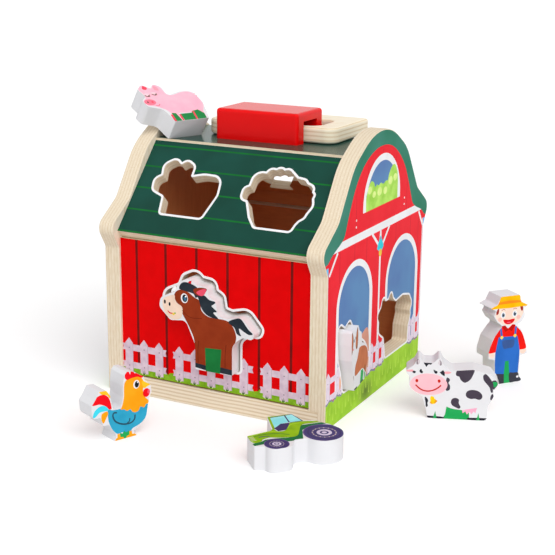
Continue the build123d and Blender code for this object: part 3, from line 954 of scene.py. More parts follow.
def verge():
    made = stroke("white", 1.2, (82.2, 112), (82.2, 38))
    for edge in (-1, 1):
        made += stroke("sky", SKY_W, (edge * SKY_Y, 112), (edge * SKY_Y, 30))
    gable = curved(VERGE_EDGE, closed=False)
    return made + [("verge", [(-100, 112.5)] + gable + [(100, 112.5), (100, 205), (-100, 205)])]


print("verge:", len(verge()[-1][1]), "points")

# %% The side grass
SIDE_HALF = 86
GRASS_STEP = 2
PAINTED_SHADOW_Y = -18
PAINTED_SHADOW_Z = 7.5
PAINTED_SHADOW_W = 27
PAINTED_SHADOW_H = 19
BLADES = 34


def side_strip(colour, level):
    """Grass from edge to edge of an end wall, up to a ragged line."""
    top = []
    for y in range(-SIDE_HALF, SIDE_HALF + 1, GRASS_STEP):
        top.append((y, level + 0.9 * sin(y * 0.55) + 0.7 * sin(y * 1.7 + 1)))
    return [(colour, [(-SIDE_HALF, -1)] + top + [(SIDE_HALF, -1)])]


def side_grass():
    made = side_strip("grass_shade", 19.8) + side_strip("side_grass", 18.4)
    # painted shadow on the grass: ovals that shrink and darken towards the middle
    for step in range(PAINTED_SHADOW_STEPS):
        share = 1 - step / PAINTED_SHADOW_STEPS
        made += oval(f"grass_smear_{step}", PAINTED_SHADOW_Y, PAINTED_SHADOW_Z, PAINTED_SHADOW_W * share, PAINTED_SHADOW_H * share)
    for i in range(BLADES):
        y = -82 + 5 * i
        foot = 7.0 + 3.0 * sin(i * 2.1)
        made += patch("grass_light", (y - 0.5, foot), (y + 0.5, foot), (y + 1.2 * sin(i * 1.3), foot + 8.5))
    return made


print("side grass:", len(side_grass()), "shapes")

# %% The end walls' prints
SIDE_RAILS = ((31.8, 36.0), (19.5, 24.0))
SIDE_PICKETS = (40.2, 36.6, 17.0)
SIDE_BORDER = 1.4
RIGHT_FENCE = (
    (-84.2, -57, (-80.6, -65, -60.2)), (-16, 14.5, (-8.8, 1.7, 12.6)), (57, 84.2, (62.8, 70.2, 82.6)),
)
LEFT_FENCE = ((-84.2, -58, (-80.6, -68.5)), (-34, -18, (-30, -20.5)), (22, 84.2, (26, 38, 50, 62, 74, 83)))
RIGHT_WALL = Face((HOUSE_HALF_L, 0, 0), BACKWARDS, UPWARDS)
LEFT_WALL = Face((-HOUSE_HALF_L, 0, 0), (0, -1, 0), UPWARDS)


def end_wall_art(fence_groups):
    made = side_planks() + hay_window() + doors() + hoist() + verge()
    return made + fence(fence_groups, SIDE_RAILS, SIDE_PICKETS, "side_picket") + side_grass()


right_art = end_wall_art(RIGHT_FENCE) + oval("peach", -61.4, 27.5, 2.6, 10)
right_art += patch("side_grass", (14, 16), (14, 21), (58, 22), (60, 16))
for side, face, art in (("right", RIGHT_WALL, right_art), ("left", LEFT_WALL, end_wall_art(LEFT_FENCE))):
    node = side + "_end_wall"
    for loop in face.loops(frame["nodes"][node])[1:]:
        art += border("white", loop, SIDE_BORDER)
    # the end walls' ground is the red with painted sheen
    print_sheet(side + "_wall_print", node, face, art, ground="side_red")

# %% [markdown]
# ## The back flap
#
# The back isn't in view either. Its flap carries the same red planks, fence and grass as the
# front, cut round the finger notch at its foot.

# %% The flap's print
BACK = Face((0, -FRONT_Y, 0), (-1, 0, 0), UPWARDS)
FLAP_RAILS = ((27.5, 32.3), (15.6, 20.2))
FLAP_PICKETS = (37.0, 33.0, 10.8)
FLAP_FENCE = ((-PRINT_HALF, PRINT_HALF, [-68.75 + 12.5 * i for i in range(12)]),)
flap_art = grooves(2, 107) + grass(0, drop=4) + fence(FLAP_FENCE, FLAP_RAILS, FLAP_PICKETS, tuft_z=10.0)
print_sheet("back_flap_print", "back_flap", BACK, flap_art, ground="barn_red")

# %% [markdown]
# ## The horse
#
# The brown horse is pushed most of the way into its hole. Its picture was drawn on the block's
# flat face, with the feet at the bottom edge, so the face's origin lies between its hoofs.

# %% Inks and picture of the horse
ink("horse_brown", "#94381A", "#8A3216")
ink("horse_dark", "#6E2410")
ink("mane", "#2C353D", "#242C34")
ink("muzzle", "#F5D9C4")
ink("leaf_dark", "#1E7A3C", "#1A7036")
ink("leaf", "#22A254", "#2AA85A")
ink("black", "#1D2026")
ink("eye_blue", "#3F6E8A")
ink("pink", "#F2556E")
ink("mouth_red", "#E21820")


def eye(x, y, width, height, turn=0.3):
    made = oval("white", x, y, width, height) + oval("black", x + turn, y, width * 0.72, height * 0.78)
    made += oval("eye_blue", x + turn + 0.2, y - 0.2, width * 0.42, height * 0.5, count=16)
    return made + oval("white", x + turn + width * 0.14, y + height * 0.2, width * 0.22, count=10)


horse_art = [
    *blob(
        "horse_brown", (-30.5, 50.5), (-28.5, 54), (-24.5, 55.5), (-19.5, 54.5), (-14.5, 51.5),
        (-10.5, 49.5), (-9, 43), (-3.5, 39.5), (4, 39.3), (11, 38.6), (15.5, 34.5), (17.5, 28),
        (15.8, 21), (15.3, 13), (15, 5), (5, 4.2), (-5, 4.2), (-15, 5), (-15.2, 13), (-15, 21.5),
        (-19, 30.5), (-24, 38.5), (-24.5, 42.5), (-29, 46),
    ),
    *blob(
        "muzzle", (-39.5, 46.5), (-36, 49.2), (-30.5, 51), (-29.8, 48), (-28, 45.5), (-24.5, 43.5),
        (-24, 39.5), (-26, 35), (-31.5, 33.6), (-36.5, 36), (-39.4, 41),
    ),
    *patch("mane", (-15.2, 5.4), (-5.8, 4.6), (-5.8, 1.2), (-15.2, 2.2)),
    *patch("mane", (4.8, 5.4), (15.4, 4.8), (15.4, 1), (4.8, 1.2)),
    *patch("leaf_dark", (-6.6, 17.2), (6.2, 18), (5, 0.6), (-6, 0.6)),
    *stroke("horse_dark", 0.5, (-12, 5.5), (-12.2, 14), (-11.4, 21.5), smooth=True),
    *stroke("horse_dark", 0.5, (9, 5.5), (9, 14), (9.8, 22), smooth=True),
    *stroke("horse_dark", 0.4, (-24.5, 41), (-18, 37), (-9, 37.5), smooth=True),
    *blob(
        "mane", (11.5, 38.3), (18.5, 41.8), (21.5, 41.3), (24.8, 37.5), (27, 35), (30, 32.6), (27, 31.7),
        (23, 33.4), (19.8, 35), (20.2, 32), (21.3, 29.8), (18, 31), (16, 35),
    ),
    *blob(
        "mane", (-12, 53.5), (-7, 54), (-3, 51.4), (1.8, 50.6), (0.3, 48.7), (-1.2, 47.2), (2.8, 44),
        (0, 42.8), (3.8, 39.2), (-2.5, 39.6), (-7, 42), (-9.8, 46), (-11, 50),
    ),
    *blob(
        "mane", (-26.5, 56.2), (-24.5, 60.2), (-20, 61.2), (-12.5, 58.8), (-10, 54.5), (-13.5, 51.4),
        (-15.5, 54), (-22.5, 55),
    ),
    *patch("mouth_red", (-19.4, 61.2), (-17, 60.6), (-16.6, 62.8), (-18.4, 62.4)),
    *blob(
        "horse_brown", (-15, 57.2), (-10, 59), (-5, 58.7), (-6, 56), (-8.5, 53.6), (-12.5, 53.4),
        (-14.8, 55),
    ),
    *blob("pink", (-13, 55.2), (-8.5, 58), (-5.4, 58.2), (-6.6, 54.8), (-9.6, 53.2)),
    *eye(-22.4, 49.8, 5.6, 6.8),
    *oval("black", -38, 45.2, 1.7, 2.9),
    *oval("black", -34.2, 44, 1.6, 2.8),
    *stroke("mouth_red", 0.8, (-35.8, 39.2), (-34, 37.8), (-31, 37.8), smooth=True),
    *oval("hoist_yellow", -31.2, 37.4, 2.2, 1.6),
    *oval("grass", -30, 38.2, 1.4, 1),
]
HORSE_FACE = Face((5.4, -91.1, 29.6), SIDEWAYS, UPWARDS)
print_sheet("horse_print", "horse_block", HORSE_FACE, horse_art)

# %% [markdown]
# ## The goat
#
# The white goat is stuck in its hole in the right wall, turned by nearly ten degrees, so its face
# isn't parallel to the wall. Only its brown saddle, ears and hoofs carry colour: the white is the
# block's own paint.

# %% Inks and picture of the goat
ink("goat_brown", "#C77247", "#BC673E")
ink("goat_ear", "#8C5A32", "#7E4E2A")
goat_art = [
    *blob(
        "goat_ear", (-23.4, 48.3), (-19.8, 43.6), (-19.6, 38), (-22, 32.4), (-24.1, 33.6), (-24.2, 41),
        (-24.1, 46.8),
    ),
    *blob(
        "goat_brown", (-23.6, 46.5), (-21.6, 43.5), (-21.2, 38.5), (-22.6, 34.8), (-23.8, 36),
        (-23.8, 42),
    ),
    *blob("goat_ear", (-8.8, 47.5), (-7, 41.5), (-7.8, 33.6), (-10.6, 32.4), (-13.2, 36), (-12.4, 42.5)),
    *blob("goat_brown", (-9.2, 45.8), (-8.2, 41), (-8.8, 35), (-11, 34.4), (-12.2, 38), (-11.6, 42.4)),
    *blob(
        "goat_brown", (-1.3, 30.9), (7.9, 29.2), (14.6, 26.9), (19.6, 23.6), (22.6, 18.4), (22, 13.2),
        (18.8, 8), (16.5, 7), (13.2, 9.9), (7.6, 12.9), (1, 13.4), (-9, 13.4), (-13.4, 15),
        (-12.6, 20.6), (-7.4, 24.8), (-4.2, 28.9),
    ),
    *patch("goat_ear", (12.6, 10.4), (14.6, 8.4), (16.2, 11.6), (14.4, 13.8)),
    *patch("leaf", (3.6, 12.6), (8.8, 12), (11, 9), (9, 3.6), (1.6, 3.8)),
    *patch("leaf", (13.8, 8.6), (16.4, 6.8), (14.6, 3.6), (12.4, 3.8)),
    *blob("goat_ear", (-20.4, 16.2), (-16.6, 15.2), (-16.4, 11.6), (-18.6, 12.2)),
    *eye(-17.6, 40.4, 2.8, 3.4),
    *eye(-13.8, 41.2, 2.2, 3),
    *oval("pink", -18.8, 34.6, 2, 1.2),
    *stroke("black", 1.2, (-14, 4.6), (-6, 4)),
    *stroke("black", 1.2, (2.4, 4), (10, 3.8)),
]
GOAT_YAW = radians(9.5)
GOAT_FACE = Face((90.2, -39.24, 16.4), (-sin(GOAT_YAW), cos(GOAT_YAW), 0), UPWARDS)
print_sheet("goat_print", "goat_block", GOAT_FACE, goat_art)

# %% [markdown]
# ## The standing blocks
#
# Cow, rooster and farmer stand on the ground, each turned by its own angle. Their faces share one
# rule, so one function gives the face from the place and the angle. The pictures were drawn with
# their feet a little above zero, so the face's origin lies just under the ground.

# %% Face of a standing block
BLOCK_OFFSET = -0.7


def standing_face(x, y, yaw):
    return Face((x, y, BLOCK_OFFSET), (cos(radians(yaw)), sin(radians(yaw)), 0), UPWARDS)


COW_FACE = standing_face(153.9, -20.2, 21.0)
ROOSTER_FACE = standing_face(-27.3, -162.1, 65.9)
FARMER_FACE = standing_face(158.6, 59.6, 50.8)
print("the cow looks along", [round(n, 2) for n in COW_FACE.normal])

# %% [markdown]
# ## The cow
#
# A white cow with dark patches, a wide pink muzzle and a yellow bell. Patches, horns and ears are
# free curves, so they are smooth outlines through a few points each, and the muzzle is an oval.

# %% Inks and picture of the cow
ink("cow_patch", "#4C4450", "#463E4A")
ink("cow_black", "#2A2A33")
ink("cow_pink", "#FFC2CA", "#FFBAC4")
ink("smile_red", "#C82A20")
ink("bell", "#FBD61E", "#F8C414")
ink("bell_shade", "#F2A21E")
ink("udder", "#FAB0CA")
ink("ear_pink", "#F6A9B0")
ink("horn", "#8C8086")
ink("horn_pale", "#D6CDD2")
cow_art = [
    *blob(
        "cow_patch", (-0.2, 36), (5, 36.6), (10.5, 36.8), (9.9, 33.2), (8, 29.5), (4.7, 27.4),
        (1.9, 29.2), (0.8, 31.4), (-1.2, 32.2), (-1.5, 34.2),
    ),
    *blob(
        "cow_patch", (5.7, 19.2), (6.8, 21.5), (9.8, 22.5), (13.6, 21.9), (16.3, 19.7), (16.7, 17.2),
        (14.9, 15.6), (12, 16.3), (9.1, 16), (6.5, 17.1),
    ),
    *blob(
        "cow_patch", (-4, 13), (-3.2, 15.4), (-0.9, 16.2), (1.3, 15.1), (1.3, 12.5), (2.6, 9.9),
        (1.6, 8.6), (-0.6, 9.4), (-3, 10.8),
    ),
    *blob(
        "cow_patch", (-7.7, 29.9), (-5.8, 29.8), (-5.4, 28.3), (-6.2, 26.7), (-5.1, 24.7), (-5.3, 21.8),
        (-7.8, 21.6),
    ),
    *blob(
        "cow_black", (-21.6, 15.8), (-20, 14.9), (-19.2, 13.2), (-19.7, 11.6), (-19.3, 9.6),
        (-20.5, 8.8), (-20.9, 11.4),
    ),
    *blob("cow_patch", (22.8, 29.4), (25.6, 29.9), (27.6, 28), (26.8, 25.6), (24.1, 23.4), (22.8, 26.7)),
    *blob("leaf", (23.4, 28.6), (25.3, 28.9), (26.5, 27.8), (25.8, 26.3), (24.3, 25), (23.6, 26.7)),
    *blob(
        "cow_patch", (16.6, 32), (16.9, 33.4), (18.2, 34.2), (20.1, 32.7), (22.5, 29.4), (23.8, 26.7),
        (23.5, 23.7), (23.5, 21.4), (22.3, 21.5), (21.3, 24.6), (19.4, 27), (17.3, 29.5),
    ),
    *blob("cow_patch", (23.3, 20.3), (24.2, 18.6), (23, 15.8), (22.1, 16.4), (22.3, 18.5)),
    *patch(
        "leaf", (-6.8, 9.7), (-4, 8.6), (-1.5, 8.1), (3.3, 7.7), (8.4, 6.4), (8.7, 2), (8.2, 0.9),
        (-9, 0.9), (-7.5, 4),
    ),
    *blob("cow_black", (-19.9, 2.2), (-18.6, 2.5), (-9, 2.1), (-9, 0.9), (-17.4, 0.9), (-19.2, 1.3)),
    *blob("cow_black", (8.3, 2.3), (18.6, 2.6), (20.4, 2.5), (19.2, 1.3), (17.4, 0.9), (8.3, 0.9)),
    *patch("leaf", (-15.5, 0.9), (-13.1, 0.9), (-14.2, 6.2)),
    *patch("leaf", (13.6, 0.9), (15.8, 0.9), (14.8, 6)),
    *patch(
        "udder", (3.8, 7.6), (7.2, 8.4), (13.8, 9.7), (13.2, 8.2), (12.8, 5.9), (11.5, 7.1), (10.2, 4.9),
        (8.9, 6.7), (7.1, 4.7), (6, 6.8), (4.2, 5.5),
    ),
    *oval("cow_pink", -19.4, 25, 25.2, 15.4, count=40),
    *oval("smile_red", -27.4, 27.3, 2, 2.5, count=14),
    *oval("smile_red", -12.5, 27.7, 2, 2.5, count=14),
    *stroke(
        "smile_red", 1, (-28.2, 24.4), (-25.5, 21.9), (-22.6, 20.5), (-19.2, 20.2), (-15.9, 21.1),
        (-13.1, 22.8), (-11.1, 24.8), smooth=True,
    ),
    *blob("cow_black", (-25.9, 34.2), (-25, 35.8), (-23.8, 34.4), (-23.6, 33.2), (-24.8, 32.8)),
    *blob("cow_black", (-16.6, 35.6), (-15.6, 35.2), (-14, 34.6), (-14.1, 33.1), (-15.6, 33.2)),
    *oval("white", -23.9, 34.9, 1, count=8),
    *oval("white", -14.6, 35.3, 1, count=8),
    *blob(
        "cow_black", (-23.2, 40.4), (-20.5, 40.7), (-17.7, 40.6), (-18.4, 39.2), (-20.1, 39.2),
        (-21.4, 37.5), (-22.2, 38.7),
    ),
    *blob(
        "horn_pale", (-28.1, 39.4), (-27.8, 42), (-26.6, 43), (-25.8, 41.5), (-26, 39.8), (-27.2, 38.7),
    ),
    *blob("horn", (-28.1, 39.4), (-27.9, 42), (-26.8, 43), (-27.3, 41.2), (-27, 39.2)),
    *blob(
        "horn_pale", (-12.9, 43), (-11.6, 41.2), (-11.5, 39.2), (-12.6, 38.9), (-13.6, 40.1),
        (-13.4, 41.6),
    ),
    *blob("horn", (-12.8, 43), (-11.5, 41.2), (-11.4, 39.2), (-12.4, 38.9), (-12.2, 41)),
    *blob("ear_pink", (-34.9, 34.5), (-30.6, 35), (-30.2, 33.8), (-33.9, 33.6)),
    *blob("cow_black", (-30.6, 33.4), (-29.6, 34.3), (-28.2, 33.6), (-29.3, 32.5)),
    *blob("ear_pink", (-9.1, 34.5), (-6.4, 34.8), (-4.6, 34.3), (-6, 33.3), (-8.6, 33.1)),
    *patch("cow_black", (-12.4, 33.8), (-10.1, 35.7), (-9, 33.9), (-8.9, 31.4), (-10.4, 32)),
    *patch(
        "bell", (-18.1, 15.4), (-17.2, 16.9), (-15.6, 16.2), (-14.8, 14.7), (-13, 13.4), (-14.5, 11.4),
        (-16.5, 10.9), (-18.1, 11.6), (-17.6, 13.4),
    ),
    *patch("bell_shade", (-14.8, 14.7), (-13, 13.4), (-14.5, 11.4), (-15.4, 12.4), (-14.6, 13.3)),
    *patch("bell_shade", (-16.4, 11.9), (-16.5, 10.9), (-18.1, 11.6), (-17.7, 12.6)),
]
print_sheet("cow_print", "cow_block", COW_FACE, cow_art)

# %% [markdown]
# ## The rooster
#
# An amber head and neck over a blue body, with a red comb and four tail feathers. The neck's ragged
# hem lies over the body, so the body is laid first. The wing is only a dark line.

# %% Inks and picture of the rooster
ink("amber", "#FFA81C", "#FB9E12")
ink("teal", "#34A6CA", "#2C9CC0")
ink("comb_red", "#F21220", "#EC101E")
ink("cyan", "#44DCF2")
ink("beak", "#FFC62A")
ink("line_dark", "#2D5566")
rooster_art = [
    *blob(
        "teal", (-4, 23.6), (-0.5, 22.4), (5, 22), (14, 21.6), (25.5, 21), (25.2, 15), (23, 10.5),
        (19, 8), (14, 6.4), (12.4, 4.6), (9.5, 4.5), (6, 5.6), (2.5, 5.4), (-1, 9), (-3.5, 14.5),
        (-4.2, 19.5),
    ),
    *blob(
        "beak", (-10, 37), (-7.5, 37.6), (-4, 36.6), (-2, 33), (-2.5, 31), (-4.5, 33.5), (-7.5, 34.5),
        (-9, 35.4),
    ),
    *blob(
        "comb_red", (-15.5, 29), (-14.5, 31.5), (-11.5, 34), (-7, 34.5), (-3.4, 31.8), (-1.8, 27),
        (-1.5, 23.5), (-4, 24), (-6, 26.5), (-10, 28.5), (-13, 28.5),
    ),
    *blob(
        "cyan", (-15.2, 20.8), (-13.8, 24.6), (-9.8, 27), (-6, 26.5), (-3.5, 23.5), (-5.5, 23),
        (-10, 23), (-13.2, 20.6),
    ),
    *blob("amber", (-9, 20.5), (-8, 22), (-4.8, 22.5), (-4, 20.6), (-5.5, 18), (-7.4, 15), (-8.8, 17)),
    *blob(
        "amber", (11.5, 41), (15.5, 41.5), (20.5, 40.5), (23, 37), (23.5, 34), (22.5, 31.5),
        (22.8, 27.5), (24.2, 25.5), (26.6, 22.6), (26, 21), (24.4, 20.6), (23, 18.8), (20.2, 20),
        (19, 17.8), (16.5, 17), (14, 18), (12.5, 20), (10, 19.4), (8, 21), (5.4, 21.4), (6.6, 24),
        (8, 29.5), (8.2, 36), (9.2, 39.5),
    ),
    *blob(
        "comb_red", (9, 43.6), (10, 46.3), (12, 45.8), (13, 43.8), (13.6, 45.8), (15.3, 45.4),
        (16.6, 43.8), (18.5, 43.8), (21.5, 42.2), (22.8, 40.4), (21.6, 39.6), (18.5, 41), (14, 41),
        (11, 40.4), (9.3, 41.8),
    ),
    *blob("beak", (22, 37.4), (24.5, 36), (28, 33.6), (26, 32.9), (23.5, 32), (22, 34.5)),
    *oval("comb_red", 25, 28.6, 5.4, 6),
    *oval("pink", 26.8, 29, 2, 3.2),
    *oval("white", 17.6, 36, 4.6, 5.8),
    *oval("black", 17.9, 35.9, 3.2, 4.4),
    *oval("white", 18.6, 37.2, 1.1, count=10),
    *stroke(
        "line_dark", 1.1, (2.5, 20), (0.2, 20.2), (-0.5, 18), (1.5, 14), (7, 11), (12.6, 10.6),
        (15.5, 12.5), (16, 15.5), smooth=True,
    ),
    *stroke("line_dark", 0.9, (12, 14), (11.6, 12), (10, 11), smooth=True),
    *patch(
        "leaf", (3.4, 2.4), (4.6, 5.6), (6.2, 4.6), (7.6, 6.2), (9, 4.8), (11.2, 5.6), (12.4, 2.4),
        (11, 1), (4.4, 1),
    ),
    *patch(
        "amber", (0.6, 0.9), (1.2, 2.4), (2.4, 2.6), (2.4, 5.2), (4.2, 5.2), (4.6, 2.6), (6.8, 2.2),
        (7.4, 0.9),
    ),
    *patch(
        "amber", (8.8, 0.9), (9.6, 2.2), (11.4, 2.6), (11.4, 5), (13.2, 5), (13.6, 2.6), (16.4, 2.2),
        (17.6, 0.9),
    ),
]
print_sheet("rooster_print", "rooster_block", ROOSTER_FACE, rooster_art)

# %% [markdown]
# ## The farmer
#
# The farmer has a straw hat, a red shirt and blue dungarees. Skin and shirt go on before the
# dungarees, and the hat goes on last. Both eyes are alike, so a loop draws them.

# %% Inks and picture of the farmer
ink("straw", "#FFBC12", "#FFB000")
ink("hat_band", "#F98F1C")
ink("skin", "#FCDCCB", "#F9D2C0")
ink("cheek", "#F8BDB2")
ink("hair", "#9A2E26")
ink("shirt_red", "#F01A12")
ink("collar", "#B81410")
ink("eye_grey", "#7D93A6")
ink("denim", "#2F6DC4", "#2A66BA")
ink("pocket", "#3D5A94")
ink("boot", "#3F3F49")
ink("button", "#FBD964")
farmer_art = [
    *patch("leaf", (3.2, 18.8), (8.2, 18.8), (9.6, 0.9), (3.4, 0.9)),
    *blob(
        "skin", (-4.6, 57), (-6.4, 55), (-5.6, 52), (-3, 48.8), (1, 46.4), (5.6, 45.4), (10.6, 46.6),
        (14.6, 49), (16.8, 52.6), (17.4, 55), (15.6, 57.6), (13, 60), (-2, 60),
    ),
    *oval("cheek", -2.4, 50.6, 3.2),
    *oval("cheek", 13.4, 50.8, 3.2),
    *blob("hair", (-4.4, 58.8), (-5.8, 56.6), (-5.4, 54.2), (-3.8, 55.4), (-3.6, 58.6)),
    *blob("hair", (14.4, 59.2), (14.8, 57), (15.8, 55.2), (17, 56), (16.4, 59)),
    *blob("skin", (-9.8, 26.4), (-9.4, 23), (-7, 21.4), (-5.6, 23), (-5.8, 26.4)),
    *blob("skin", (16.8, 26.4), (17, 23.2), (19.6, 22), (21.6, 23.6), (21.6, 26.6)),
    *blob(
        "shirt_red", (1.8, 45.6), (5, 43.2), (9, 45.8), (13, 43), (16.5, 39.5), (19.4, 34.5), (20.8, 30),
        (21.6, 26.2), (16.8, 25.4), (5, 27), (-5.6, 25.8), (-10.4, 26), (-9.4, 30), (-7.2, 35.4),
        (-3, 42.2),
    ),
    *patch("collar", (-0.6, 45.4), (2.4, 45.6), (5.6, 42.2), (3, 40.6)),
    *patch("collar", (11.2, 45.4), (8.6, 45.4), (5.6, 42.2), (8.4, 40.6)),
    *patch(
        "denim", (-2.6, 37.2), (13.6, 36.4), (15.2, 30), (16.2, 25.5), (16.2, 16), (15.8, 7.6), (8.4, 8),
        (7.2, 18), (4.2, 18), (3.6, 8), (-4, 8.8), (-4.6, 17), (-4.6, 25.5), (-3.6, 32),
    ),
    *blob("pocket", (0.8, 33.8), (6, 34.2), (11, 33.4), (10.4, 28.4), (6, 27.8), (2.2, 28)),
    *stroke("denim", 1.6, (-1.2, 43.6), (0.2, 36.6)),
    *stroke("denim", 1.6, (11.8, 43.8), (11.4, 36.6)),
    *oval("button", 0.1, 36.6, 2.6),
    *oval("button", 11.4, 36.8, 2.6),
    *patch("boot", (-3.8, 9.2), (3.8, 8.2), (4.2, 0.9), (0.4, 0.9), (-1.6, 5)),
    *blob(
        "boot", (8.2, 8.2), (12, 8.2), (15.9, 7.8), (16.3, 5.4), (18.8, 4), (19, 2), (17.4, 0.9),
        (13, 0.9), (9.2, 0.9),
    ),
    *oval("boot", 16, 4.8, 5, 4.2, count=16),
    *oval("white", 15.7, 4.6, 2.2, 1.7, count=12),
    *blob(
        "straw", (-2.2, 67.6), (5, 68), (13, 67.4), (14.2, 64), (15.6, 61.8), (20.4, 60.2), (19.8, 58.6),
        (15, 58.6), (5, 58.4), (-4, 58.8), (-10.6, 58.8), (-10.4, 59.8), (-5.2, 61.7), (-3.6, 64.6),
    ),
    *ribbon(
        "hat_band", curved([(-4, 63.6), (5, 64.2), (14.2, 63.4)], closed=False),
        curved([(-4.8, 61.8), (5, 61.8), (15.2, 61.8)], closed=False),
    ),
]
for x in (0.2, 10.0):
    farmer_art += oval("white", x, 53.6, 4.0, 4.8)
    farmer_art += oval("eye_grey", x + 0.1, 53.6, 2.6, 3.5, count=16)
    farmer_art += oval("boot", x + 0.1, 53.5, 1.6, 2.4, count=12)
    farmer_art += oval("white", x + 0.6, 54.6, 0.8, count=8)
    farmer_art += stroke("hair", 0.4, (x - 1.6, 57.2), (x, 57.8), (x + 1.6, 57.2), smooth=True)
farmer_art += [
    *blob("mouth_red", (0.6, 50.1), (5.2, 49.6), (10.2, 49.9), (8.8, 47.2), (5.4, 46.1), (2, 47.2)),
    *blob("pink", (3.4, 47.6), (5.4, 48.1), (7.4, 47.6), (5.4, 46.9)),
]
print_sheet("farmer_print", "farmer_block", FARMER_FACE, farmer_art)

# %% [markdown]
# ## The tractor
#
# The tractor lies on its back with its picture up. Its two wheels differ only in size: each is a
# stack of rings, from the tyre's edge to the hub, with a ring of small dots for the tread.

# %% Inks and picture of the tractor
ink("lime", "#92BE1A", "#7EAC16")
ink("lime_pale", "#B4DC3C", "#A6D232")
ink("tractor_green", "#1E7440", "#1A6A3A")
ink("glass", "#86E2E8", "#A2ECF0")
ink("tyre", "#4A4478", "#40396A")
ink("tyre_edge", "#6A568A")
ink("tyre_ring", "#8E8090", "#7C6E84")
ink("hub", "#D9CFE0", "#CBC0D6")
ink("cream", "#EFE3CE")
ink("seat", "#3A3462", "#443C66")
tractor_art = [
    *patch(
        "tractor_green", (-14, 13.6), (-7.8, 14.5), (-4, 16.6), (4, 16), (10.2, 14.6), (16.4, 15.2),
        (25.6, 30), (40.6, 29.4), (42, 26.4), (29.3, 26), (23.4, 22), (18, 8.6), (10.1, 8.8),
        (-6.8, 10.4), (-13.9, 9.9),
    ),
    *blob(
        "lime", (-12, 26.3), (-8.8, 27.6), (-2.5, 28.6), (3.1, 29.5), (7.3, 30), (8.4, 26), (13.9, 26.2),
        (20.9, 35.8), (28.9, 35.6), (35.4, 33.6), (40.9, 30.2), (33.5, 30.4), (26.4, 30), (21, 21.5),
        (16.8, 15.2), (10.4, 14.9), (3.3, 17), (-0.3, 18.6), (-5.4, 17.2), (-7.5, 14.8), (-12.6, 14.4),
        (-13.4, 20.7),
    ),
    *patch(
        "lime", (6.4, 29.6), (8.6, 30.4), (12.2, 47.8), (28.2, 48.4), (30.2, 36.2), (30.6, 36.2),
        (28.2, 49.4), (11.2, 50.3),
    ),
    *stroke("lime_pale", 0.7, (-11.6, 25.2), (-5, 26.6), (3, 27.4), (9, 25), smooth=True),
    *stroke("lime_pale", 0.6, (16, 28), (20, 33), (26, 33.6), (33, 31.6), smooth=True),
]
for y in (17.4, 19.2, 21.0, 22.8):
    tractor_art += stroke("cream", 0.5, (-12.8, y), (-9.4, y + 0.5))
tractor_art += [
    *stroke("seat", 0.9, (-6.6, 21.4), (-3, 21.6), (0.4, 20.4), smooth=True),
    *stroke("tractor_green", 0.7, (-9, 23.6), (0, 24.4), (8, 22), (13, 18.4), smooth=True),
    *patch("glass", (8.6, 31.9), (12.3, 48.2), (22.3, 48.2), (20.4, 37), (14.6, 36.7), (11.8, 34.1)),
    *patch("glass", (22.4, 48.2), (27.9, 48.9), (29.7, 36.5), (21.2, 37)),
    *patch(
        "seat", (8, 31.2), (11.8, 34.1), (14.6, 36.7), (20.9, 36.2), (17.6, 31), (14.1, 26.2), (8.5, 26),
    ),
    *stroke("seat", 0.9, (22.5, 48.4), (20.8, 37)),
    *stroke("seat", 0.9, (28, 49), (29.8, 36)),
    *stroke("seat", 0.6, (12.2, 48.4), (28, 49.1)),
    *stroke("seat", 0.7, (20.9, 36.4), (29.8, 36.2)),
]
print("tractor body:", len(tractor_art), "shapes")

# %% The tractor's wheels
OUTER_RINGS = (
    ("tyre_edge", 1, 44), ("tyre", 0.94, 44), ("seat", 0.80, 36), ("tyre", 0.72, 36),
    ("tyre_ring", 0.59, 32), ("tyre", 0.52, 32),
)
INNER_RINGS = (("hub", 0.36, 24), ("tyre", 0.21, 18), ("hub", 0.12, 14))
DOTS = 16
DOT_REACH = 0.275
DOT_SIZE = 0.03


def wheel(x, y, width):
    made = []
    for colour, share, count in OUTER_RINGS:
        made += oval(colour, x, y, width * share, count=count)
    for i in range(DOTS):
        turn = 2 * pi * i / DOTS
        reach = width * DOT_REACH
        made += oval("cream", x + reach * cos(turn), y + reach * sin(turn), width * DOT_SIZE, count=8)
    for colour, share, count in INNER_RINGS:
        made += oval(colour, x, y, width * share, count=count)
    return made


tractor_art += wheel(0, 8.1, 15.8) + wheel(34.6, 13.6, 27)
BLOCK_T = 16.0
TRACTOR_YAW = radians(50.4)
tractor_x = Vector((cos(TRACTOR_YAW), sin(TRACTOR_YAW), 0))
tractor_y = Vector((-sin(TRACTOR_YAW), cos(TRACTOR_YAW), 0))
TRACTOR_FACE = Face((89.7, -153.6, BLOCK_T), tractor_x, tractor_y)
print_sheet("tractor_print", "tractor_block", TRACTOR_FACE, tractor_art)

# %% [markdown]
# ## The pig
#
# The pig stands on the roof top and leans against the left wall, so its face is tilted both ways.
# Its feet are on the green top panel and its back rests on the rim of the wall.

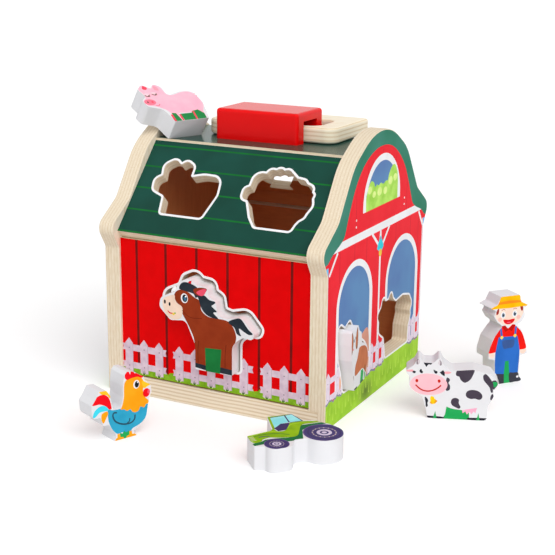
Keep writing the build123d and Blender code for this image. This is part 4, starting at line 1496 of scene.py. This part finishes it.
# %% Inks and picture of the pig
ink("pig_pink", "#FFBECE", "#FFB2C6")
ink("pig_deep", "#EE4A60")
ink("pig_warm", "#F9A2B4")
ink("pig_pale", "#FFD2DC")
ink("snout", "#F5788E", "#F8869A")
ink("lid", "#6B4A3C")
ink("pig_leaf", "#2A8A4A", "#258244")
PIG_YAW = radians(68.5)
PIG_LEAN = radians(34.2)
pig_x = Vector((cos(PIG_YAW), sin(PIG_YAW), 0))
pig_level = Vector((-sin(PIG_YAW), cos(PIG_YAW), 0))
pig_y = pig_level * cos(PIG_LEAN) + Vector((0, 0, sin(PIG_LEAN)))
pig_feet = Vector((-57.4, -22.1, 176.0))
PIG_FACE = Face(pig_feet + pig_x.cross(pig_y) * BLOCK_T + pig_y * BLOCK_OFFSET, pig_x, pig_y)
pig_art = [
    *blob(
        "pig_pink", (-13.6, 8.6), (-14.6, 2.4), (-8.6, 2.2), (-7.4, 8.4), (0, 8.4), (3.4, 8.2),
        (4.6, 2.2), (12.6, 2.2), (14.2, 8), (18.4, 14.6), (18.8, 22), (16.2, 28.4), (9, 30), (-1, 27.6),
        (-5.6, 29), (-6.2, 35), (-7.8, 38.6), (-11.4, 39.6), (-14.4, 36.4), (-17.4, 37.4), (-20.6, 40.2),
        (-25.4, 36.4), (-24.2, 30.4), (-25, 26.6), (-28.2, 24.2), (-27.4, 19.6), (-22, 17.8),
        (-17.4, 15), (-14.6, 12.4),
    ),
    *blob("pig_deep", (-20.2, 39.6), (-17.6, 37.8), (-19.4, 35.4), (-22, 36.4)),
    *blob("pig_warm", (-11.8, 38.6), (-9.2, 37), (-9.4, 33.6), (-12.6, 34.6)),
    *oval("snout", -23.6, 22.4, 9.6, 6.2),
    *oval("lid", -25.4, 22.6, 1.4, 1.8, count=12),
    *oval("pig_deep", -21.6, 22.4, 1.6, 2, count=12),
]
for x, y in ((-21.8, 28.6), (-15.4, 29.4)):
    pig_art += oval("pig_pale", x, y + 1.6, 4.6, 3.2, count=16)
    pig_art += stroke("lid", 0.9, (x - 2.2, y + 1.2), (x - 0.2, y - 0.2), (x + 2.0, y + 0.2), smooth=True)
    pig_art += stroke("lid", 0.6, (x + 0.6, y + 0.4), (x + 2.2, y + 1.4))
pig_art += [
    *stroke("pig_deep", 0.5, (-21, 18.6), (-18.6, 18.2), (-17, 19.6), smooth=True),
    *patch("pig_leaf", (-13, 9.6), (-9.6, 9), (-8.6, 0.9), (-14, 0.9)),
    *patch(
        "pig_leaf", (-6.4, 7.8), (3.8, 7.8), (4.6, 9.4), (10.6, 10.4), (13.8, 6), (12.8, 0.9),
        (-6.6, 0.9),
    ),
    *stroke("pig_deep", 1.8, (-14.4, 0.9), (-14, 8)),
    *stroke("pig_deep", 1.5, (-7.6, 0.9), (-7, 7.6)),
    *stroke("pig_deep", 1.5, (4.4, 0.9), (5.6, 9)),
    *stroke("pig_deep", 0.5, (18.4, 24), (19.2, 26.2), (17.8, 27), smooth=True),
]
print_sheet("pig_print", "pig_block", PIG_FACE, pig_art)

# %% [markdown]
# ## Ground and background
#
# The toy stands on a pale sweep that runs away to white. The camera sees the sweep a little
# brighter than it is, through the Is Camera Ray output, so that it ends up white without any
# more light falling on the toy. Its shadow stays.

# %% The ground
SWEEP_HALF = 6.0
CAMERA_LIFT = (0.2, 0.2, 0.2, 1)
ground_mesh = bpy.data.meshes.new("studio_sweep")
corners = [(x * SWEEP_HALF, y * SWEEP_HALF, 0) for x, y in ((-1, -1), (1, -1), (1, 1), (-1, 1))]
ground_mesh.from_pydata(corners, [], [(0, 1, 2, 3)])
ground = bpy.data.objects.new("studio_sweep", ground_mesh)
bpy.context.scene.collection.objects.link(ground)
sweep = Finish("pale_sweep")
sweep_cloud = noise(sweep, sweep.node("ShaderNodeTexCoord", output="Object"), scale=1.5, detail=2.0)
sweep.set(Base_Color=mix(sweep, sweep_cloud, linear("#F2F2F2"), linear("#EFEFEF")), Roughness=0.9)
seen = sweep.node("ShaderNodeLightPath", output="Is Camera Ray")
sweep.set(Emission_Strength=1.0, Emission_Color=mix(sweep, seen, (0, 0, 0, 1), CAMERA_LIFT))
ground_mesh.materials.append(sweep.material)
print("sweep", 2 * SWEEP_HALF, "m wide")

# %% [markdown]
# ## Light
#
# A wide soft light comes from the right and the front, because the toy's shadow falls softly to
# the left. It is a sun lamp with a large angle, so that the ground is lit evenly out to the far
# edge. The world gives the rest of the light from all round, as a white studio does.

# %% The world
WORLD_LEVEL = 0.53
world = bpy.data.worlds.new("studio_world")
bpy.context.scene.world = world
world.use_nodes = True
background = world.node_tree.nodes["Background"]
path = world.node_tree.nodes.new("ShaderNodeLightPath")
bright = Value(path.outputs["Is Camera Ray"]).math("MAXIMUM", Value(path.outputs["Is Glossy Ray"]))
plug(world.node_tree, background.inputs["Strength"], WORLD_LEVEL + bright * (1.0 - WORLD_LEVEL))
background.inputs["Color"].default_value = (1.0, 1.0, 1.0, 1.0)
print("world level", WORLD_LEVEL)

# %% The lamps
def soft_sun(name, from_direction, angle, strength):
    data = bpy.data.lights.new(name, "SUN")
    data.angle = radians(angle)
    data.energy = strength
    lamp = bpy.data.objects.new(name, data)
    lamp.rotation_euler = Vector(from_direction).to_track_quat("Z", "Y").to_euler()
    bpy.context.scene.collection.objects.link(lamp)
    print(name, "lamp", angle, "degrees wide, strength", strength)


soft_sun("key", (1.0, -0.8, 1.3), 50.0, 1.75)
soft_sun("fill", (0.1, -1.0, 0.5), 80.0, 0.42)

# %% [markdown]
# ## Camera
#
# The camera was solved from the straight edges of the barn in the photograph: a long lens, above
# and to the right of the front wall.

# %% The camera
CAMERA_PLACE = (0.40484, -0.77220, 0.31742)
CAMERA_TURN = (74.4034, -0.4999, 27.4368)
camera_data = bpy.data.cameras.new("photo_camera")
camera_data.sensor_width = 36.0
camera_data.lens = 80.33
camera = bpy.data.objects.new("photo_camera", camera_data)
camera.location = CAMERA_PLACE
camera.rotation_euler = Euler([radians(turn) for turn in CAMERA_TURN])
bpy.context.scene.collection.objects.link(camera)
bpy.context.scene.camera = camera
bpy.context.scene.view_settings.view_transform = "Standard"
print("camera", [round(c, 3) for c in camera.location], "lens", camera_data.lens)
